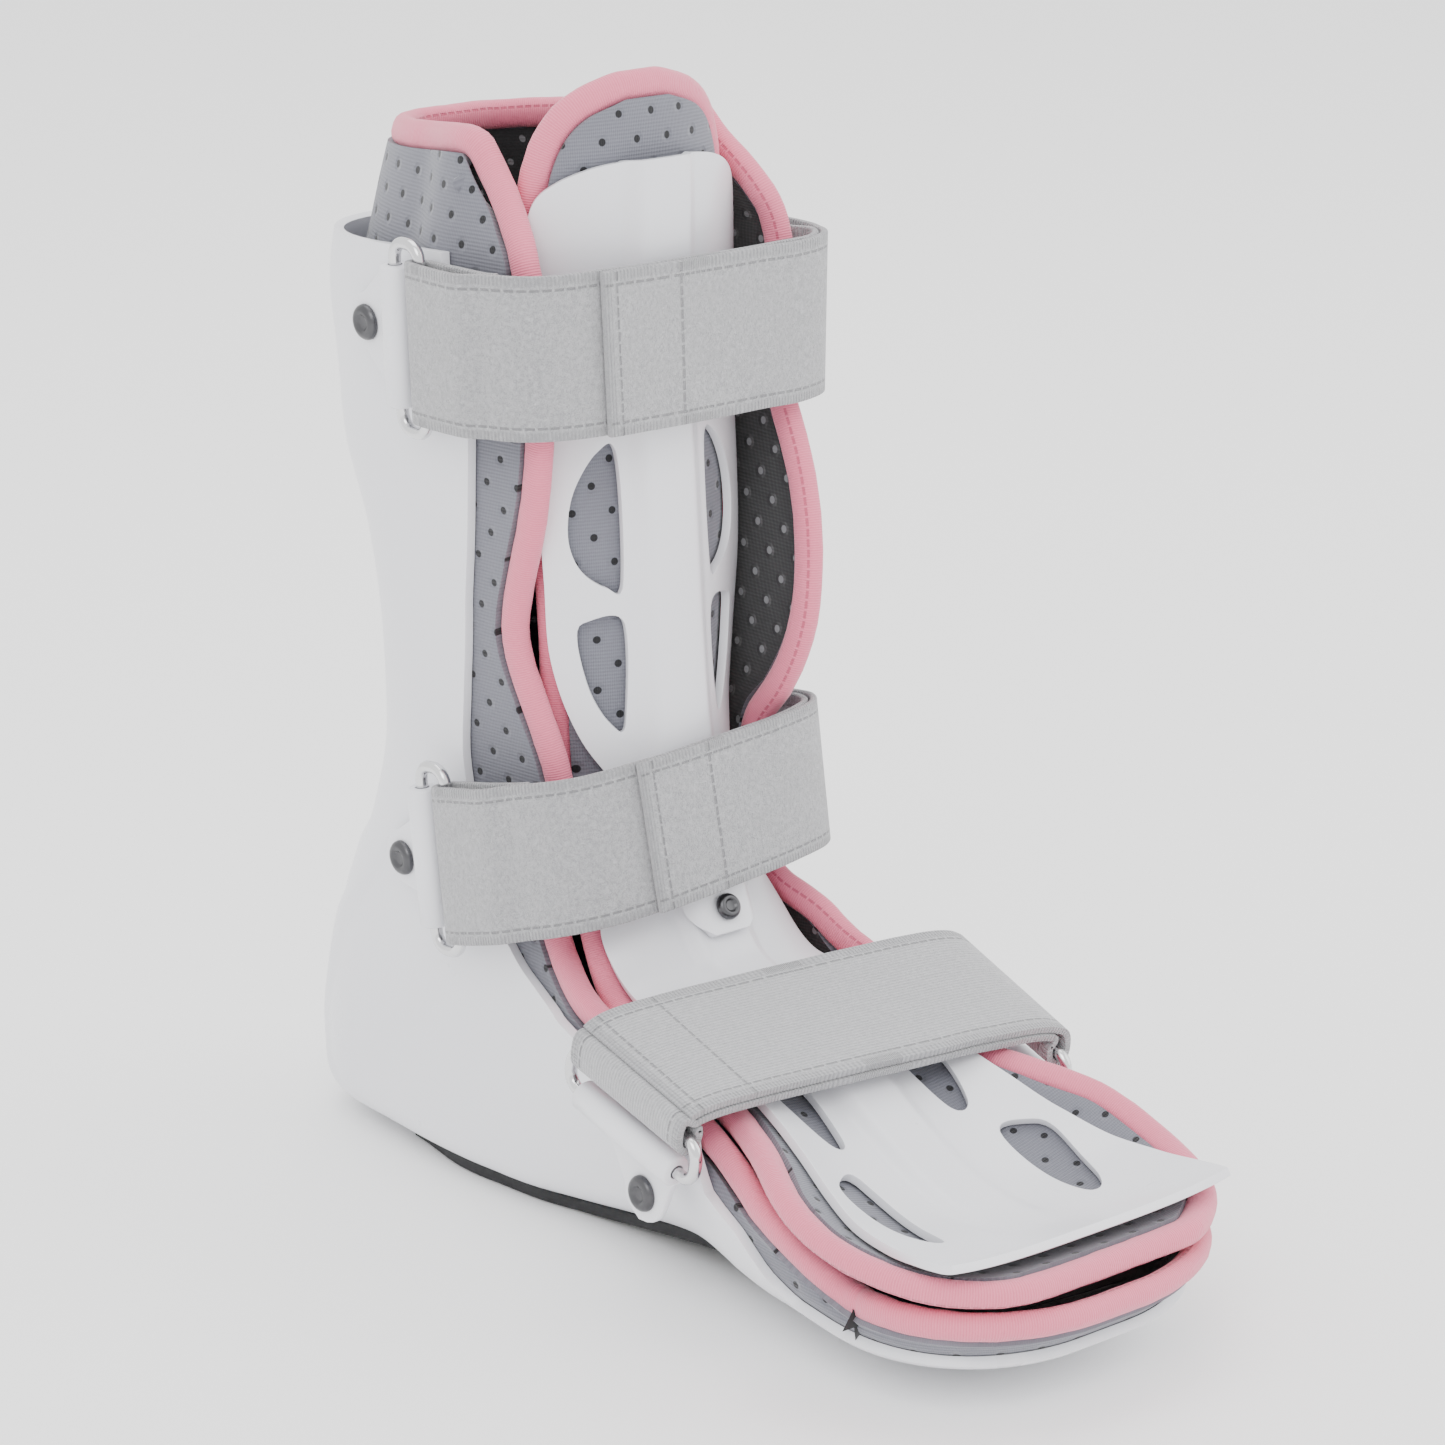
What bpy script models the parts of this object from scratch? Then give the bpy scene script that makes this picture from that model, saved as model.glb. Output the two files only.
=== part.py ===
"""Walking boot: a moulded shell with a padded liner, a front pad, two front plates and three straps.

X is across the boot, the toe points to -Y, Z is up, and the origin lies on the floor under the ankle.
"""
import math
from collections import namedtuple

import bmesh
import bpy
from mathutils import Vector

# Driving sizes, in metres
SIDE_HEIGHT = 0.070          # rim of the foot's side wall at the instep
SHELL_HEIGHT = 0.300         # rim of the leg
HEEL_REACH = 0.100           # origin to the back of the heel
TOE_REACH = 0.240            # origin to the tip of the toe
LEG_HALF_WIDTH = 0.050
FOOT_HALF_WIDTH = 0.060
SHELL_WALL = 0.003
LINER_WALL = 0.0062
TONGUE_WALL = 0.0075
PLATE_WALL = 0.0026
SOLE_THICKNESS = 0.004
BINDING_RADIUS = 0.0047
BINDING_HALF_DEPTH = 0.0038
GAP = 0.0003                 # between pieces that touch
PLATE_SEAT = 0.0009          # plate to pad, measured on the curved surfaces
PLATE_RIDGE = 0.0032         # height of the raised middle of a plate
RIDGE_HALF_WIDTH = 0.015
RIDGE_FADE_ROWS = (18.5, 21.5)  # pad rows over which the ridge dies away towards the toe
STRAP_THICKNESS = 0.0022
STRAP_LAYER_GAP = 0.0006
WIRE_RADIUS = 0.0019
RING_REACH = 0.0125          # strap bar to sleeve bar of a wire ring
RING_CORNER = 0.0030
RING_SLACK = 0.0024           # strap edge to the ring's side wire
SLEEVE_RADIUS = 0.0049
SLEEVE_BORE = 0.0025
TAB_THICKNESS = 0.0028
RIVET_RADIUS = 0.0056
RIVET_HEIGHT = 0.0022
SHIN_RIVET_RADIUS = 0.0042

# Sections of the body from the top of the leg, round the heel, to the toe. An edge point is where the
# section is widest and a back point is the middle of its far side. Lengths are shares: y of HEEL_REACH
# or TOE_REACH, z of SIDE_HEIGHT up to 1 and of the leg above it from 1 to 2, half widths of
# LEG_HALF_WIDTH turning into FOOT_HALF_WIDTH. base is the width at the back as a share of the half
# width, corner_x and corner_d are the corner's two radii as shares of that width and of the depth.
FormRow = namedtuple("FormRow", "edge_y edge_z back_y back_z half_width base corner_x corner_d")
FORM_ROWS = [
    FormRow(0.010, 2.139, 0.830, 2.117, 1.010, 0.97, 0.76, 0.66),
    FormRow(0.000, 2.078, 0.860, 2.057, 1.070, 0.98, 0.76, 0.66),
    FormRow(0.005, 2.013, 0.880, 1.991, 1.140, 0.98, 0.76, 0.66),
    FormRow(-0.021, 1.926, 0.940, 1.913, 1.126, 0.98, 0.76, 0.66),
    FormRow(-0.033, 1.817, 0.925, 1.809, 1.096, 0.98, 0.76, 0.66),
    FormRow(-0.023, 1.704, 0.900, 1.700, 1.064, 0.98, 0.76, 0.66),
    FormRow(-0.008, 1.600, 0.790, 1.596, 1.028, 0.98, 0.76, 0.66),
    FormRow(0.010, 1.496, 0.725, 1.491, 1.004, 0.98, 0.76, 0.66),
    FormRow(0.040, 1.400, 0.705, 1.387, 0.980, 0.98, 0.76, 0.66),
    FormRow(0.060, 1.317, 0.710, 1.261, 0.948, 0.98, 0.76, 0.64),
    FormRow(0.035, 1.241, 0.780, 1.152, 0.917, 0.98, 0.76, 0.58),
    FormRow(0.010, 1.213, 0.870, 1.081, 0.898, 1.00, 0.77, 0.50),
    FormRow(-0.008, 1.174, 0.970, 0.914, 0.886, 1.04, 0.78, 0.43),
    FormRow(-0.023, 1.128, 1.040, 0.443, 0.875, 1.05, 0.74, 0.38),
    FormRow(-0.033, 1.104, 1.010, 0.243, 0.865, 1.05, 0.64, 0.33),
    FormRow(-0.044, 1.085, 0.940, 0.121, 0.855, 1.04, 0.50, 0.26),
    FormRow(-0.058, 1.067, 0.800, 0.0614, 0.845, 1.02, 0.40, 0.19),
    FormRow(-0.087, 1.041, 0.510, 0.0614, 0.841, 1.03, 0.31, 0.15),
    FormRow(-0.131, 1.020, 0.200, 0.0614, 0.853, 1.01, 0.28, 0.14),
    FormRow(-0.190, 1.002, -0.037, 0.0614, 0.905, 0.92, 0.31, 0.16),
    FormRow(-0.250, 0.957, -0.154, 0.071, 0.948, 0.80, 0.37, 0.20),
    FormRow(-0.312, 0.921, -0.271, 0.107, 0.972, 0.74, 0.42, 0.26),
    FormRow(-0.379, 0.857, -0.375, 0.140, 0.987, 0.73, 0.46, 0.34),
    FormRow(-0.450, 0.764, -0.450, 0.140, 1.002, 0.76, 0.54, 0.44),
    FormRow(-0.517, 0.693, -0.517, 0.109, 1.030, 0.80, 0.62, 0.55),
    FormRow(-0.558, 0.615, -0.562, 0.086, 1.045, 0.84, 0.68, 0.66),
    FormRow(-0.613, 0.543, -0.617, 0.069, 1.050, 0.88, 0.73, 0.74),
    FormRow(-0.658, 0.490, -0.667, 0.063, 1.047, 0.90, 0.76, 0.80),
    FormRow(-0.704, 0.435, -0.721, 0.063, 1.040, 0.93, 0.78, 0.84),
    FormRow(-0.746, 0.389, -0.783, 0.071, 1.030, 0.96, 0.79, 0.86),
    FormRow(-0.769, 0.366, -0.850, 0.100, 1.022, 0.99, 0.80, 0.88),
    FormRow(-0.785, 0.353, -0.912, 0.151, 1.020, 1.00, 0.82, 0.90),
    FormRow(-0.796, 0.347, -0.963, 0.217, 1.020, 1.00, 0.84, 0.92),
    FormRow(-0.803, 0.344, -0.994, 0.309, 1.020, 1.00, 0.86, 0.93),
]
RIM_ROW = 2                  # section at the top of the shell; the liner rises above it
ANKLE_ROW = 8                # below it the sections fan round the heel
BALL_ROW = 24                # last section that carries the shell's high side
SOLE_FIRST_ROW, SOLE_LAST_ROW = 17, 29
LAST_ROW = len(FORM_ROWS) - 1

# How far the walls run on past the form's edge, row by row, as shares of FOOT_HALF_WIDTH: the shell's
# lip and its outward lean, the liner's flap on the near (-X) and far (+X) sides, how far each flap
# leans outwards, and how far the flap's corner drops.
EdgeRow = namedtuple("EdgeRow", "lip lip_lean near far near_lean far_lean drop")
EDGE_ROWS = [
    EdgeRow(0.05, 0.000, 0.08, 0.10, -0.02, 0.00, 0.10),
    EdgeRow(0.05, 0.000, 0.26, 0.34, -0.04, 0.00, 0.06),
    EdgeRow(0.05, 0.000, 0.41, 0.44, -0.06, 0.00, 0.02),
    EdgeRow(0.05, 0.000, 0.39, 0.42, -0.06, 0.00, 0.00),
    EdgeRow(0.05, 0.000, 0.34, 0.34, -0.06, -0.01, 0.00),
    EdgeRow(0.05, 0.000, 0.33, 0.62, -0.04, -0.02, 0.00),
    EdgeRow(0.05, 0.000, 0.26, 0.80, -0.02, -0.02, 0.00),
    EdgeRow(0.05, 0.000, 0.22, 0.86, -0.01, -0.03, 0.00),
    EdgeRow(0.05, 0.000, 0.37, 0.78, -0.04, -0.05, 0.00),
    EdgeRow(0.05, 0.000, 0.50, 0.66, -0.06, -0.06, 0.00),
    EdgeRow(0.05, 0.000, 0.54, 0.60, -0.06, -0.06, 0.00),
    EdgeRow(0.05, 0.000, 0.48, 0.58, -0.05, -0.05, 0.00),
    EdgeRow(0.05, 0.000, 0.44, 0.56, -0.04, -0.03, 0.00),
    EdgeRow(0.05, 0.000, 0.39, 0.54, -0.03, -0.02, 0.00),
    EdgeRow(0.05, 0.000, 0.36, 0.51, -0.02, 0.00, 0.00),
    EdgeRow(0.05, 0.000, 0.31, 0.48, -0.01, 0.00, 0.00),
    EdgeRow(0.05, 0.000, 0.27, 0.45, 0.00, 0.00, 0.00),
    EdgeRow(0.05, 0.000, 0.21, 0.40, 0.00, 0.00, 0.00),
    EdgeRow(0.05, 0.005, 0.13, 0.36, 0.00, 0.00, 0.00),
    EdgeRow(0.05, 0.010, 0.08, 0.30, 0.00, 0.00, 0.00),
    EdgeRow(0.07, 0.015, 0.05, 0.20, -0.03, -0.03, 0.00),
    EdgeRow(0.09, 0.015, 0.04, 0.12, -0.03, -0.03, 0.00),
    EdgeRow(0.13, 0.015, 0.04, 0.07, -0.03, -0.03, 0.00),
    EdgeRow(0.20, 0.015, 0.04, 0.05, -0.03, -0.03, 0.00),
    EdgeRow(0.22, 0.015, 0.04, 0.04, -0.03, -0.03, 0.00),
    EdgeRow(0.08, 0.010, 0.05, 0.05, -0.03, -0.03, 0.00),
    EdgeRow(0.05, 0.000, 0.05, 0.05, 0.01, 0.01, 0.00),
    EdgeRow(0.05, 0.000, 0.05, 0.05, 0.03, 0.03, 0.00),
    EdgeRow(0.05, 0.000, 0.04, 0.04, 0.04, 0.04, 0.00),
    EdgeRow(0.05, 0.000, 0.04, 0.04, 0.04, 0.04, 0.00),
    EdgeRow(0.05, 0.000, 0.04, 0.04, 0.04, 0.04, 0.00),
    EdgeRow(0.05, 0.000, 0.04, 0.04, 0.04, 0.04, 0.00),
    EdgeRow(0.05, 0.000, 0.04, 0.04, 0.04, 0.04, 0.00),
    EdgeRow(0.05, 0.000, 0.04, 0.04, 0.04, 0.04, 0.00),
]

# The front pad from its arched top, down the shin and over the foot: the middle of its outer face as
# shares like the form's, its half extent, the half width that its curve is measured over, and how far
# the curve falls away (or, below zero, turns up) at that half width, with the power of that curve.
PadRow = namedtuple("PadRow", "mid_y mid_z extent span fall curve")
PAD_ROWS = [
    PadRow(-0.125, 2.204, 0.16, 0.76, 0.28, 2.2),
    PadRow(-0.129, 2.187, 0.40, 0.76, 0.28, 2.2),
    PadRow(-0.132, 2.152, 0.56, 0.76, 0.28, 2.2),
    PadRow(-0.135, 2.091, 0.65, 0.76, 0.28, 2.2),
    PadRow(-0.135, 2.000, 0.66, 0.76, 0.28, 2.2),
    PadRow(-0.135, 1.909, 0.66, 0.76, 0.28, 2.2),
    PadRow(-0.135, 1.813, 0.66, 0.76, 0.28, 2.2),
    PadRow(-0.144, 1.700, 0.64, 0.76, 0.28, 2.2),
    PadRow(-0.152, 1.587, 0.62, 0.76, 0.30, 2.2),
    PadRow(-0.160, 1.474, 0.60, 0.76, 0.39, 2.2),
    PadRow(-0.169, 1.365, 0.59, 0.76, 0.49, 2.2),
    PadRow(-0.181, 1.274, 0.59, 0.76, 0.48, 2.2),
    PadRow(-0.202, 1.191, 0.57, 0.76, 0.40, 2.2),
    PadRow(-0.231, 1.124, 0.59, 0.74, 0.29, 2.2),
    PadRow(-0.275, 1.059, 0.63, 0.70, 0.15, 2.2),
    PadRow(-0.350, 1.022, 0.65, 0.70, 0.02, 2.4),
    PadRow(-0.446, 0.957, 0.66, 0.71, -0.05, 2.6),
    PadRow(-0.521, 0.857, 0.69, 0.75, -0.12, 2.6),
    PadRow(-0.596, 0.721, 0.79, 0.84, -0.25, 2.4),
    PadRow(-0.675, 0.593, 0.94, 0.95, -0.31, 2.1),
    PadRow(-0.758, 0.536, 0.98, 0.99, -0.27, 2.3),
    PadRow(-0.838, 0.543, 0.94, 0.95, -0.19, 2.5),
    PadRow(-0.904, 0.579, 0.82, 0.95, -0.14, 3.0),
    PadRow(-0.950, 0.621, 0.55, 0.90, -0.06, 3.4),
]
PAD_BEND_ROW, PAD_FOOT_ROW = 12, 18

# Outlines of the two plates on the pad: place along the pad's rows, half width as a share of
# LEG_HALF_WIDTH, and how far the plate stands off the pad, in plate seats.
PlateRow = namedtuple("PlateRow", "row extent lift")
SHIN_PLATE_ROWS = [
    PlateRow(2.45, 0.22, 0.0), PlateRow(2.55, 0.42, 0.0), PlateRow(2.8, 0.61, 0.0),
    PlateRow(3.2, 0.73, 0.0), PlateRow(4.0, 0.77, 0.0), PlateRow(5.0, 0.77, 0.0), PlateRow(6.0, 0.76, 0.0),
    PlateRow(7.0, 0.74, 0.0), PlateRow(8.0, 0.72, 0.0), PlateRow(9.0, 0.67, 0.0), PlateRow(10.0, 0.53, 0.5),
    PlateRow(11.0, 0.33, 2.6), PlateRow(12.0, 0.25, 4.2), PlateRow(13.1, 0.22, 4.2), PlateRow(13.55, 0.12, 4.2),
]
FOOT_PLATE_ROWS = [
    PlateRow(12.2, 0.46, 0.0), PlateRow(12.5, 0.58, 0.0), PlateRow(13.0, 0.66, 0.0), PlateRow(14.0, 0.69, 0.4),
    PlateRow(15.0, 0.72, 0.6), PlateRow(16.0, 0.75, 0.6), PlateRow(17.0, 0.80, 0.4), PlateRow(18.0, 0.88, 0.0),
    PlateRow(19.0, 0.97, 0.0), PlateRow(20.0, 1.05, 0.0), PlateRow(21.0, 1.11, 0.3), PlateRow(22.0, 1.14, 1.2),
    PlateRow(22.6, 1.14, 2.4), PlateRow(23.0, 1.12, 3.6),
]

# Windows cut through the plates, given on one side and mirrored: across as a share of LEG_HALF_WIDTH,
# along as a height level for the shin plate and as a share of TOE_REACH for the foot plate.
WindowPoint = namedtuple("WindowPoint", "across along")
SHIN_WINDOWS = [
    [WindowPoint(0.30, 1.87), WindowPoint(0.54, 1.87), WindowPoint(0.60, 1.84), WindowPoint(0.42, 1.79),
     WindowPoint(0.32, 1.80)],
    [WindowPoint(0.34, 1.745), WindowPoint(0.46, 1.75), WindowPoint(0.60, 1.70), WindowPoint(0.64, 1.64),
     WindowPoint(0.58, 1.595), WindowPoint(0.44, 1.57), WindowPoint(0.34, 1.575)],
    [WindowPoint(0.34, 1.52), WindowPoint(0.56, 1.525), WindowPoint(0.60, 1.50), WindowPoint(0.54, 1.43),
     WindowPoint(0.44, 1.385), WindowPoint(0.36, 1.385)],
]
FOOT_WINDOWS = [
    [WindowPoint(0.38, -0.50), WindowPoint(0.60, -0.50), WindowPoint(0.62, -0.55), WindowPoint(0.54, -0.61),
     WindowPoint(0.42, -0.60)],
    [WindowPoint(0.56, -0.665), WindowPoint(0.76, -0.675), WindowPoint(0.83, -0.71), WindowPoint(0.76, -0.79),
     WindowPoint(0.64, -0.825), WindowPoint(0.56, -0.80)],
]

# Half width of the rubber outsole at each of its sections, as a share of FOOT_HALF_WIDTH.
SOLE_WIDTHS = [0.58, 0.66, 0.63, 0.55, 0.50, 0.47, 0.45, 0.44, 0.42, 0.40, 0.38, 0.34, 0.22]

# Side view of the space above the forefoot tray, as y share and z level: the shell's rim steps down
# behind the instep strap and runs low round the toe.
TrayPoint = namedtuple("TrayPoint", "y z")
TRAY_RIM = [
    TrayPoint(-0.507, 1.20), TrayPoint(-0.521, 0.80), TrayPoint(-0.543, 0.65), TrayPoint(-0.600, 0.54),
    TrayPoint(-0.650, 0.385), TrayPoint(-0.690, 0.285), TrayPoint(-0.790, 0.265), TrayPoint(-0.900, 0.255),
    TrayPoint(-1.100, 0.245), TrayPoint(-1.100, 1.20),
]

# Straps: the bar each end turns round, from the strap's upper or rear edge to its lower or front edge,
# and the strap's middle over the front. x is a share of LEG_HALF_WIDTH, y of the reaches, z a level.
StrapEnd = namedtuple("StrapEnd", "x y z")
Strap = namedtuple("Strap", "name near far crown near_curve far_curve overlay ring_turn")
STRAPS = [
    Strap("top_strap",
          (StrapEnd(-1.27, -0.002, 2.004), StrapEnd(-1.21, 0.010, 1.788)),
          (StrapEnd(1.25, -0.002, 2.004), StrapEnd(1.22, 0.010, 1.788)),
          (StrapEnd(0.00, -0.188, 2.004), StrapEnd(0.00, -0.192, 1.788)), 4.0, 6.5, 0.42, 0.0),
    Strap("ankle_strap",
          (StrapEnd(-1.13, 0.010, 1.292), StrapEnd(-1.09, -0.012, 1.072)),
          (StrapEnd(1.15, 0.010, 1.330), StrapEnd(1.11, -0.012, 1.120)),
          (StrapEnd(0.02, -0.225, 1.361), StrapEnd(0.02, -0.271, 1.168)), 3.2, 4.4, 0.41, 0.0),
    Strap("instep_strap",
          (StrapEnd(-1.39, -0.345, 1.030), StrapEnd(-1.41, -0.555, 0.925)),
          (StrapEnd(1.40, -0.385, 1.025), StrapEnd(1.42, -0.582, 0.840)),
          (StrapEnd(0.00, -0.372, 1.072), StrapEnd(0.00, -0.572, 0.990)), 5.0, 5.0, 0.10, 1.0),
]

# Fixed bits beside each strap end: how far the rivet sits from the sleeve, away from the strap, and
# along the strap's width from its middle, both in metres of the real bracket.
Bracket = namedtuple("Bracket", "strap rivet_away rivet_along tab_half")
BRACKETS = [
    Bracket("top", 0.0190, 0.000, 0.0190),
    Bracket("ankle", 0.0170, 0.004, 0.0130),
    Bracket("instep", 0.0170, 0.008, 0.0150),
]

ARC_COLUMNS = 4
WALL_COLUMNS = 2
HALF_COLUMNS = 1 + ARC_COLUMNS + WALL_COLUMNS
FLAP_STEPS = 2
BEAD_SIDES = 5
PAD_COLUMNS = 8
MAIN_STEPS = 18
OVERLAY_STEPS = 11
BAR_SHARE = 0.06             # share of a strap's path over which it leaves its bar
TAIL_SHARES = (0.16, 0.11, 0.05, 0.02)
X_AXIS = Vector((1.0, 0.0, 0.0))
Z_AXIS = Vector((0.0, 0.0, 1.0))


def clear_scene():
    for item in list(bpy.data.objects):
        bpy.data.objects.remove(item, do_unlink=True)


def finish_material(name, color, roughness, metallic=0.0):
    material = bpy.data.materials.new(name)
    material.use_nodes = True
    shader = material.node_tree.nodes["Principled BSDF"]
    shader.inputs["Base Color"].default_value = (*color, 1.0)
    shader.inputs["Roughness"].default_value = roughness
    shader.inputs["Metallic"].default_value = metallic
    return material


def add_object(name, mesh, material, smooth_angle=40.0):
    """Turn a bmesh into a shaded object and return it."""
    bmesh.ops.recalc_face_normals(mesh, faces=mesh.faces)
    data = bpy.data.meshes.new(name)
    mesh.to_mesh(data)
    mesh.free()
    data.materials.append(material)
    data.shade_smooth()
    data.set_sharp_from_angle(angle=math.radians(smooth_angle))
    item = bpy.data.objects.new(name, data)
    bpy.context.collection.objects.link(item)
    return item


def hide_cutter(cutter):
    cutter.hide_render = True
    cutter.display_type = "WIRE"


def cut(item, cutter, operation="DIFFERENCE"):
    hide_cutter(cutter)
    boolean = item.modifiers.new("Cut", "BOOLEAN")
    boolean.operation = operation
    boolean.object = cutter


def lengthwise(share):
    return share * (HEEL_REACH if share > 0.0 else TOE_REACH)


def upward(level):
    if level <= 1.0:
        return level * SIDE_HEIGHT
    return SIDE_HEIGHT + (level - 1.0) * (SHELL_HEIGHT - SIDE_HEIGHT)


def mix(low, high, share):
    return low + (high - low) * share


def clamp(value, low=0.0, high=1.0):
    return max(low, min(high, value))


def width_reference(row, first, last):
    """The half width that a section's shares follow: the leg's above, the foot's below."""
    return mix(LEG_HALF_WIDTH, FOOT_HALF_WIDTH, clamp((row - first) / (last - first)))


def blend_rows(rows, place):
    """Smooth values of a table between its rows (a cubic through the four nearest)."""
    last = len(rows) - 1
    place = clamp(place, 0.0, last)
    low = min(int(place), last - 1)
    t = place - low
    a, b, c, d = (rows[min(max(low + k, 0), last)] for k in (-1, 0, 1, 2))
    weights = (
        0.5 * (-t + 2 * t * t - t ** 3),
        0.5 * (2 - 5 * t * t + 3 * t ** 3),
        0.5 * (t + 4 * t * t - 3 * t ** 3),
        0.5 * (t ** 3 - t * t),
    )
    return [sum(w * value for w, value in zip(weights, column)) for column in zip(a, b, c, d)]


def form_point(place, column):
    """A point of the body's outer form: column runs from -1, the near edge, through 0 to 1."""
    row = FormRow(*blend_rows(FORM_ROWS, place))
    edge = Vector((0.0, lengthwise(row.edge_y), upward(row.edge_z)))
    back = Vector((0.0, lengthwise(row.back_y), upward(row.back_z)))
    depth = (back - edge).length
    half_width = row.half_width * width_reference(place, ANKLE_ROW, BALL_ROW)
    base_width = half_width * row.base
    corner_x = base_width * row.corner_x
    corner_d = depth * row.corner_d
    step = abs(column) * HALF_COLUMNS
    if step <= 1.0:
        across = step * (base_width - corner_x)
        deep = depth
    elif step <= 1.0 + ARC_COLUMNS:
        angle = (step - 1.0) / ARC_COLUMNS * math.pi / 2
        across = base_width - corner_x * (1.0 - math.sin(angle))
        deep = depth - corner_d * (1.0 - math.cos(angle))
    else:
        across = base_width
        deep = (depth - corner_d) * (HALF_COLUMNS - step) / WALL_COLUMNS
    share = deep / depth
    across *= mix(half_width / base_width, 1.0, share)
    point = edge.lerp(back, share)
    point.x = math.copysign(across, column)
    return point


def surface_normal(point_at, u, v, du, dv, outward_from):
    """Normal of a surface by small differences, turned away from a point inside."""
    along = point_at(u + du, v) - point_at(u - du, v)
    across = point_at(u, v + dv) - point_at(u, v - dv)
    normal = along.cross(across).normalized()
    if normal.dot(point_at(u, v) - outward_from) < 0.0:
        normal.negate()
    return normal


def form_normal(place, column):
    place = clamp(place, 0.02, LAST_ROW - 0.02)
    column = clamp(column, -0.995, 0.995)
    row = FormRow(*blend_rows(FORM_ROWS, place))
    inside = Vector((0.0, lengthwise(row.edge_y), upward(row.edge_z)))
    return surface_normal(form_point, place, column, 0.02, 0.005, inside)


def form_at(place, column, inset=0.0):
    return form_point(place, column) - form_normal(place, column) * inset


def rim_up(row):
    """Direction in which the walls run on past the form's edge at a row."""
    if row > BALL_ROW:
        return Z_AXIS
    data = FORM_ROWS[row]
    edge = Vector((0.0, lengthwise(data.edge_y), upward(data.edge_z)))
    back = Vector((0.0, lengthwise(data.back_y), upward(data.back_z)))
    return (edge - back).normalized()


def rim_keys(first_row):
    """The form's open edge from the near top, round the toe, to the far top, as (row, column)."""
    near = [(row, 0) for row in range(first_row, LAST_ROW + 1)]
    toe = [(LAST_ROW, column) for column in range(1, 2 * HALF_COLUMNS)]
    far = [(row, 2 * HALF_COLUMNS) for row in range(LAST_ROW, first_row - 1, -1)]
    return near + toe + far


def cup_quads(first_row, lip_steps):
    """Quads of a wall on the form, with the strip that runs on past its edge."""
    quads = []
    for row in range(first_row, LAST_ROW):
        for column in range(2 * HALF_COLUMNS):
            quads.append([(row, column), (row, column + 1), (row + 1, column + 1), (row + 1, column)])
    rim = rim_keys(first_row)
    for index, (low, high) in enumerate(zip(rim, rim[1:])):
        for step in range(lip_steps):
            start = [low, high] if step == 0 else [("lip", index, step), ("lip", index + 1, step)]
            quads.append([start[0], start[1], ("lip", index + 1, step + 1), ("lip", index, step + 1)])
    return quads


def cup_place(first_row, outer_inset, inner_inset, reach, lip_steps):
    """Places the keys of cup_quads: reach(row, side) gives length, lean and drop past the edge."""
    rim = rim_keys(first_row)

    def place(key):
        if key[0] != "lip":
            row, column = key
            share = (column - HALF_COLUMNS) / HALF_COLUMNS
            return form_at(row, share, outer_inset), form_at(row, share, inner_inset)
        row, column = rim[key[1]]
        share = (column - HALF_COLUMNS) / HALF_COLUMNS
        length, lean, drop = reach(row, share)
        part = key[2] / lip_steps
        normal = form_normal(row, share)
        shift = rim_up(row) * length * part + normal * lean * part - Z_AXIS * drop * part ** 2
        return (form_at(row, share, outer_inset) + shift, form_at(row, share, inner_inset) + shift)

    return place


def sheet_solid(quads, place):
    """A closed wall: every key has an outer and an inner point, and open edges are joined."""
    mesh = bmesh.new()
    outer = {}
    inner = {}
    for quad in quads:
        for key in quad:
            if key not in outer:
                outer_point, inner_point = place(key)
                outer[key] = mesh.verts.new(outer_point)
                inner[key] = mesh.verts.new(inner_point)
    directed = set()
    for quad in quads:
        for corners in ((0, 1, 2), (0, 2, 3)):
            mesh.faces.new([outer[quad[corner]] for corner in corners])
            mesh.faces.new([inner[quad[corner]] for corner in reversed(corners)])
        directed.update(zip(quad, quad[1:] + quad[:1]))
    for low, high in sorted(directed, key=str):
        if (high, low) not in directed:
            mesh.faces.new([outer[high], outer[low], inner[low], inner[high]])
    return mesh


def bead_on(place, keys, behind):
    """Binding bead along a sheet's edge, flush with its outer face; each key comes with one behind it."""
    mesh = bmesh.new()
    sides = [place(key) for key in keys]
    middles = [(outer + inner) / 2 for outer, inner in sides]
    normals = []
    outwards = []
    agreement = 0.0
    for index, (outer, inner) in enumerate(sides):
        along = (middles[(index + 1) % len(keys)] - middles[index - 1]).normalized()
        normal = outer - inner
        normals.append((normal - along * normal.dot(along)).normalized())
        outwards.append(along.cross(normals[index]))
        agreement += outwards[index].dot(middles[index] - sum(place(behind[index]), Vector()) / 2)
    turned = math.copysign(1.0, agreement)
    rings = []
    for (outer, inner), normal, outward in zip(sides, normals, outwards):
        outward = outward * turned
        centre = outer - normal * (BINDING_HALF_DEPTH + GAP)
        centre += outward * (BINDING_RADIUS + GAP + max(0.0, (inner - outer).dot(outward)))
        ring = []
        for side in range(BEAD_SIDES):
            angle = side / BEAD_SIDES * math.tau
            ring.append(mesh.verts.new(centre + outward * BINDING_RADIUS * math.cos(angle)
                                       + normal * BINDING_HALF_DEPTH * math.sin(angle)))
        rings.append(ring)
    for ring, following in zip(rings, rings[1:] + rings[:1]):
        for side in range(BEAD_SIDES):
            beside = (side + 1) % BEAD_SIDES
            mesh.faces.new([ring[side], ring[beside], following[beside], following[side]])
    return mesh


def shell_reach(row, share):
    return EDGE_ROWS[row].lip * FOOT_HALF_WIDTH, EDGE_ROWS[row].lip_lean * FOOT_HALF_WIDTH, 0.0


def liner_reach(row, share):
    data = EDGE_ROWS[row]
    length = mix(data.near, data.far, (share + 1.0) / 2.0)
    lean = mix(data.near_lean, data.far_lean, (share + 1.0) / 2.0)
    return length * FOOT_HALF_WIDTH, lean * FOOT_HALF_WIDTH, data.drop * FOOT_HALF_WIDTH


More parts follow.
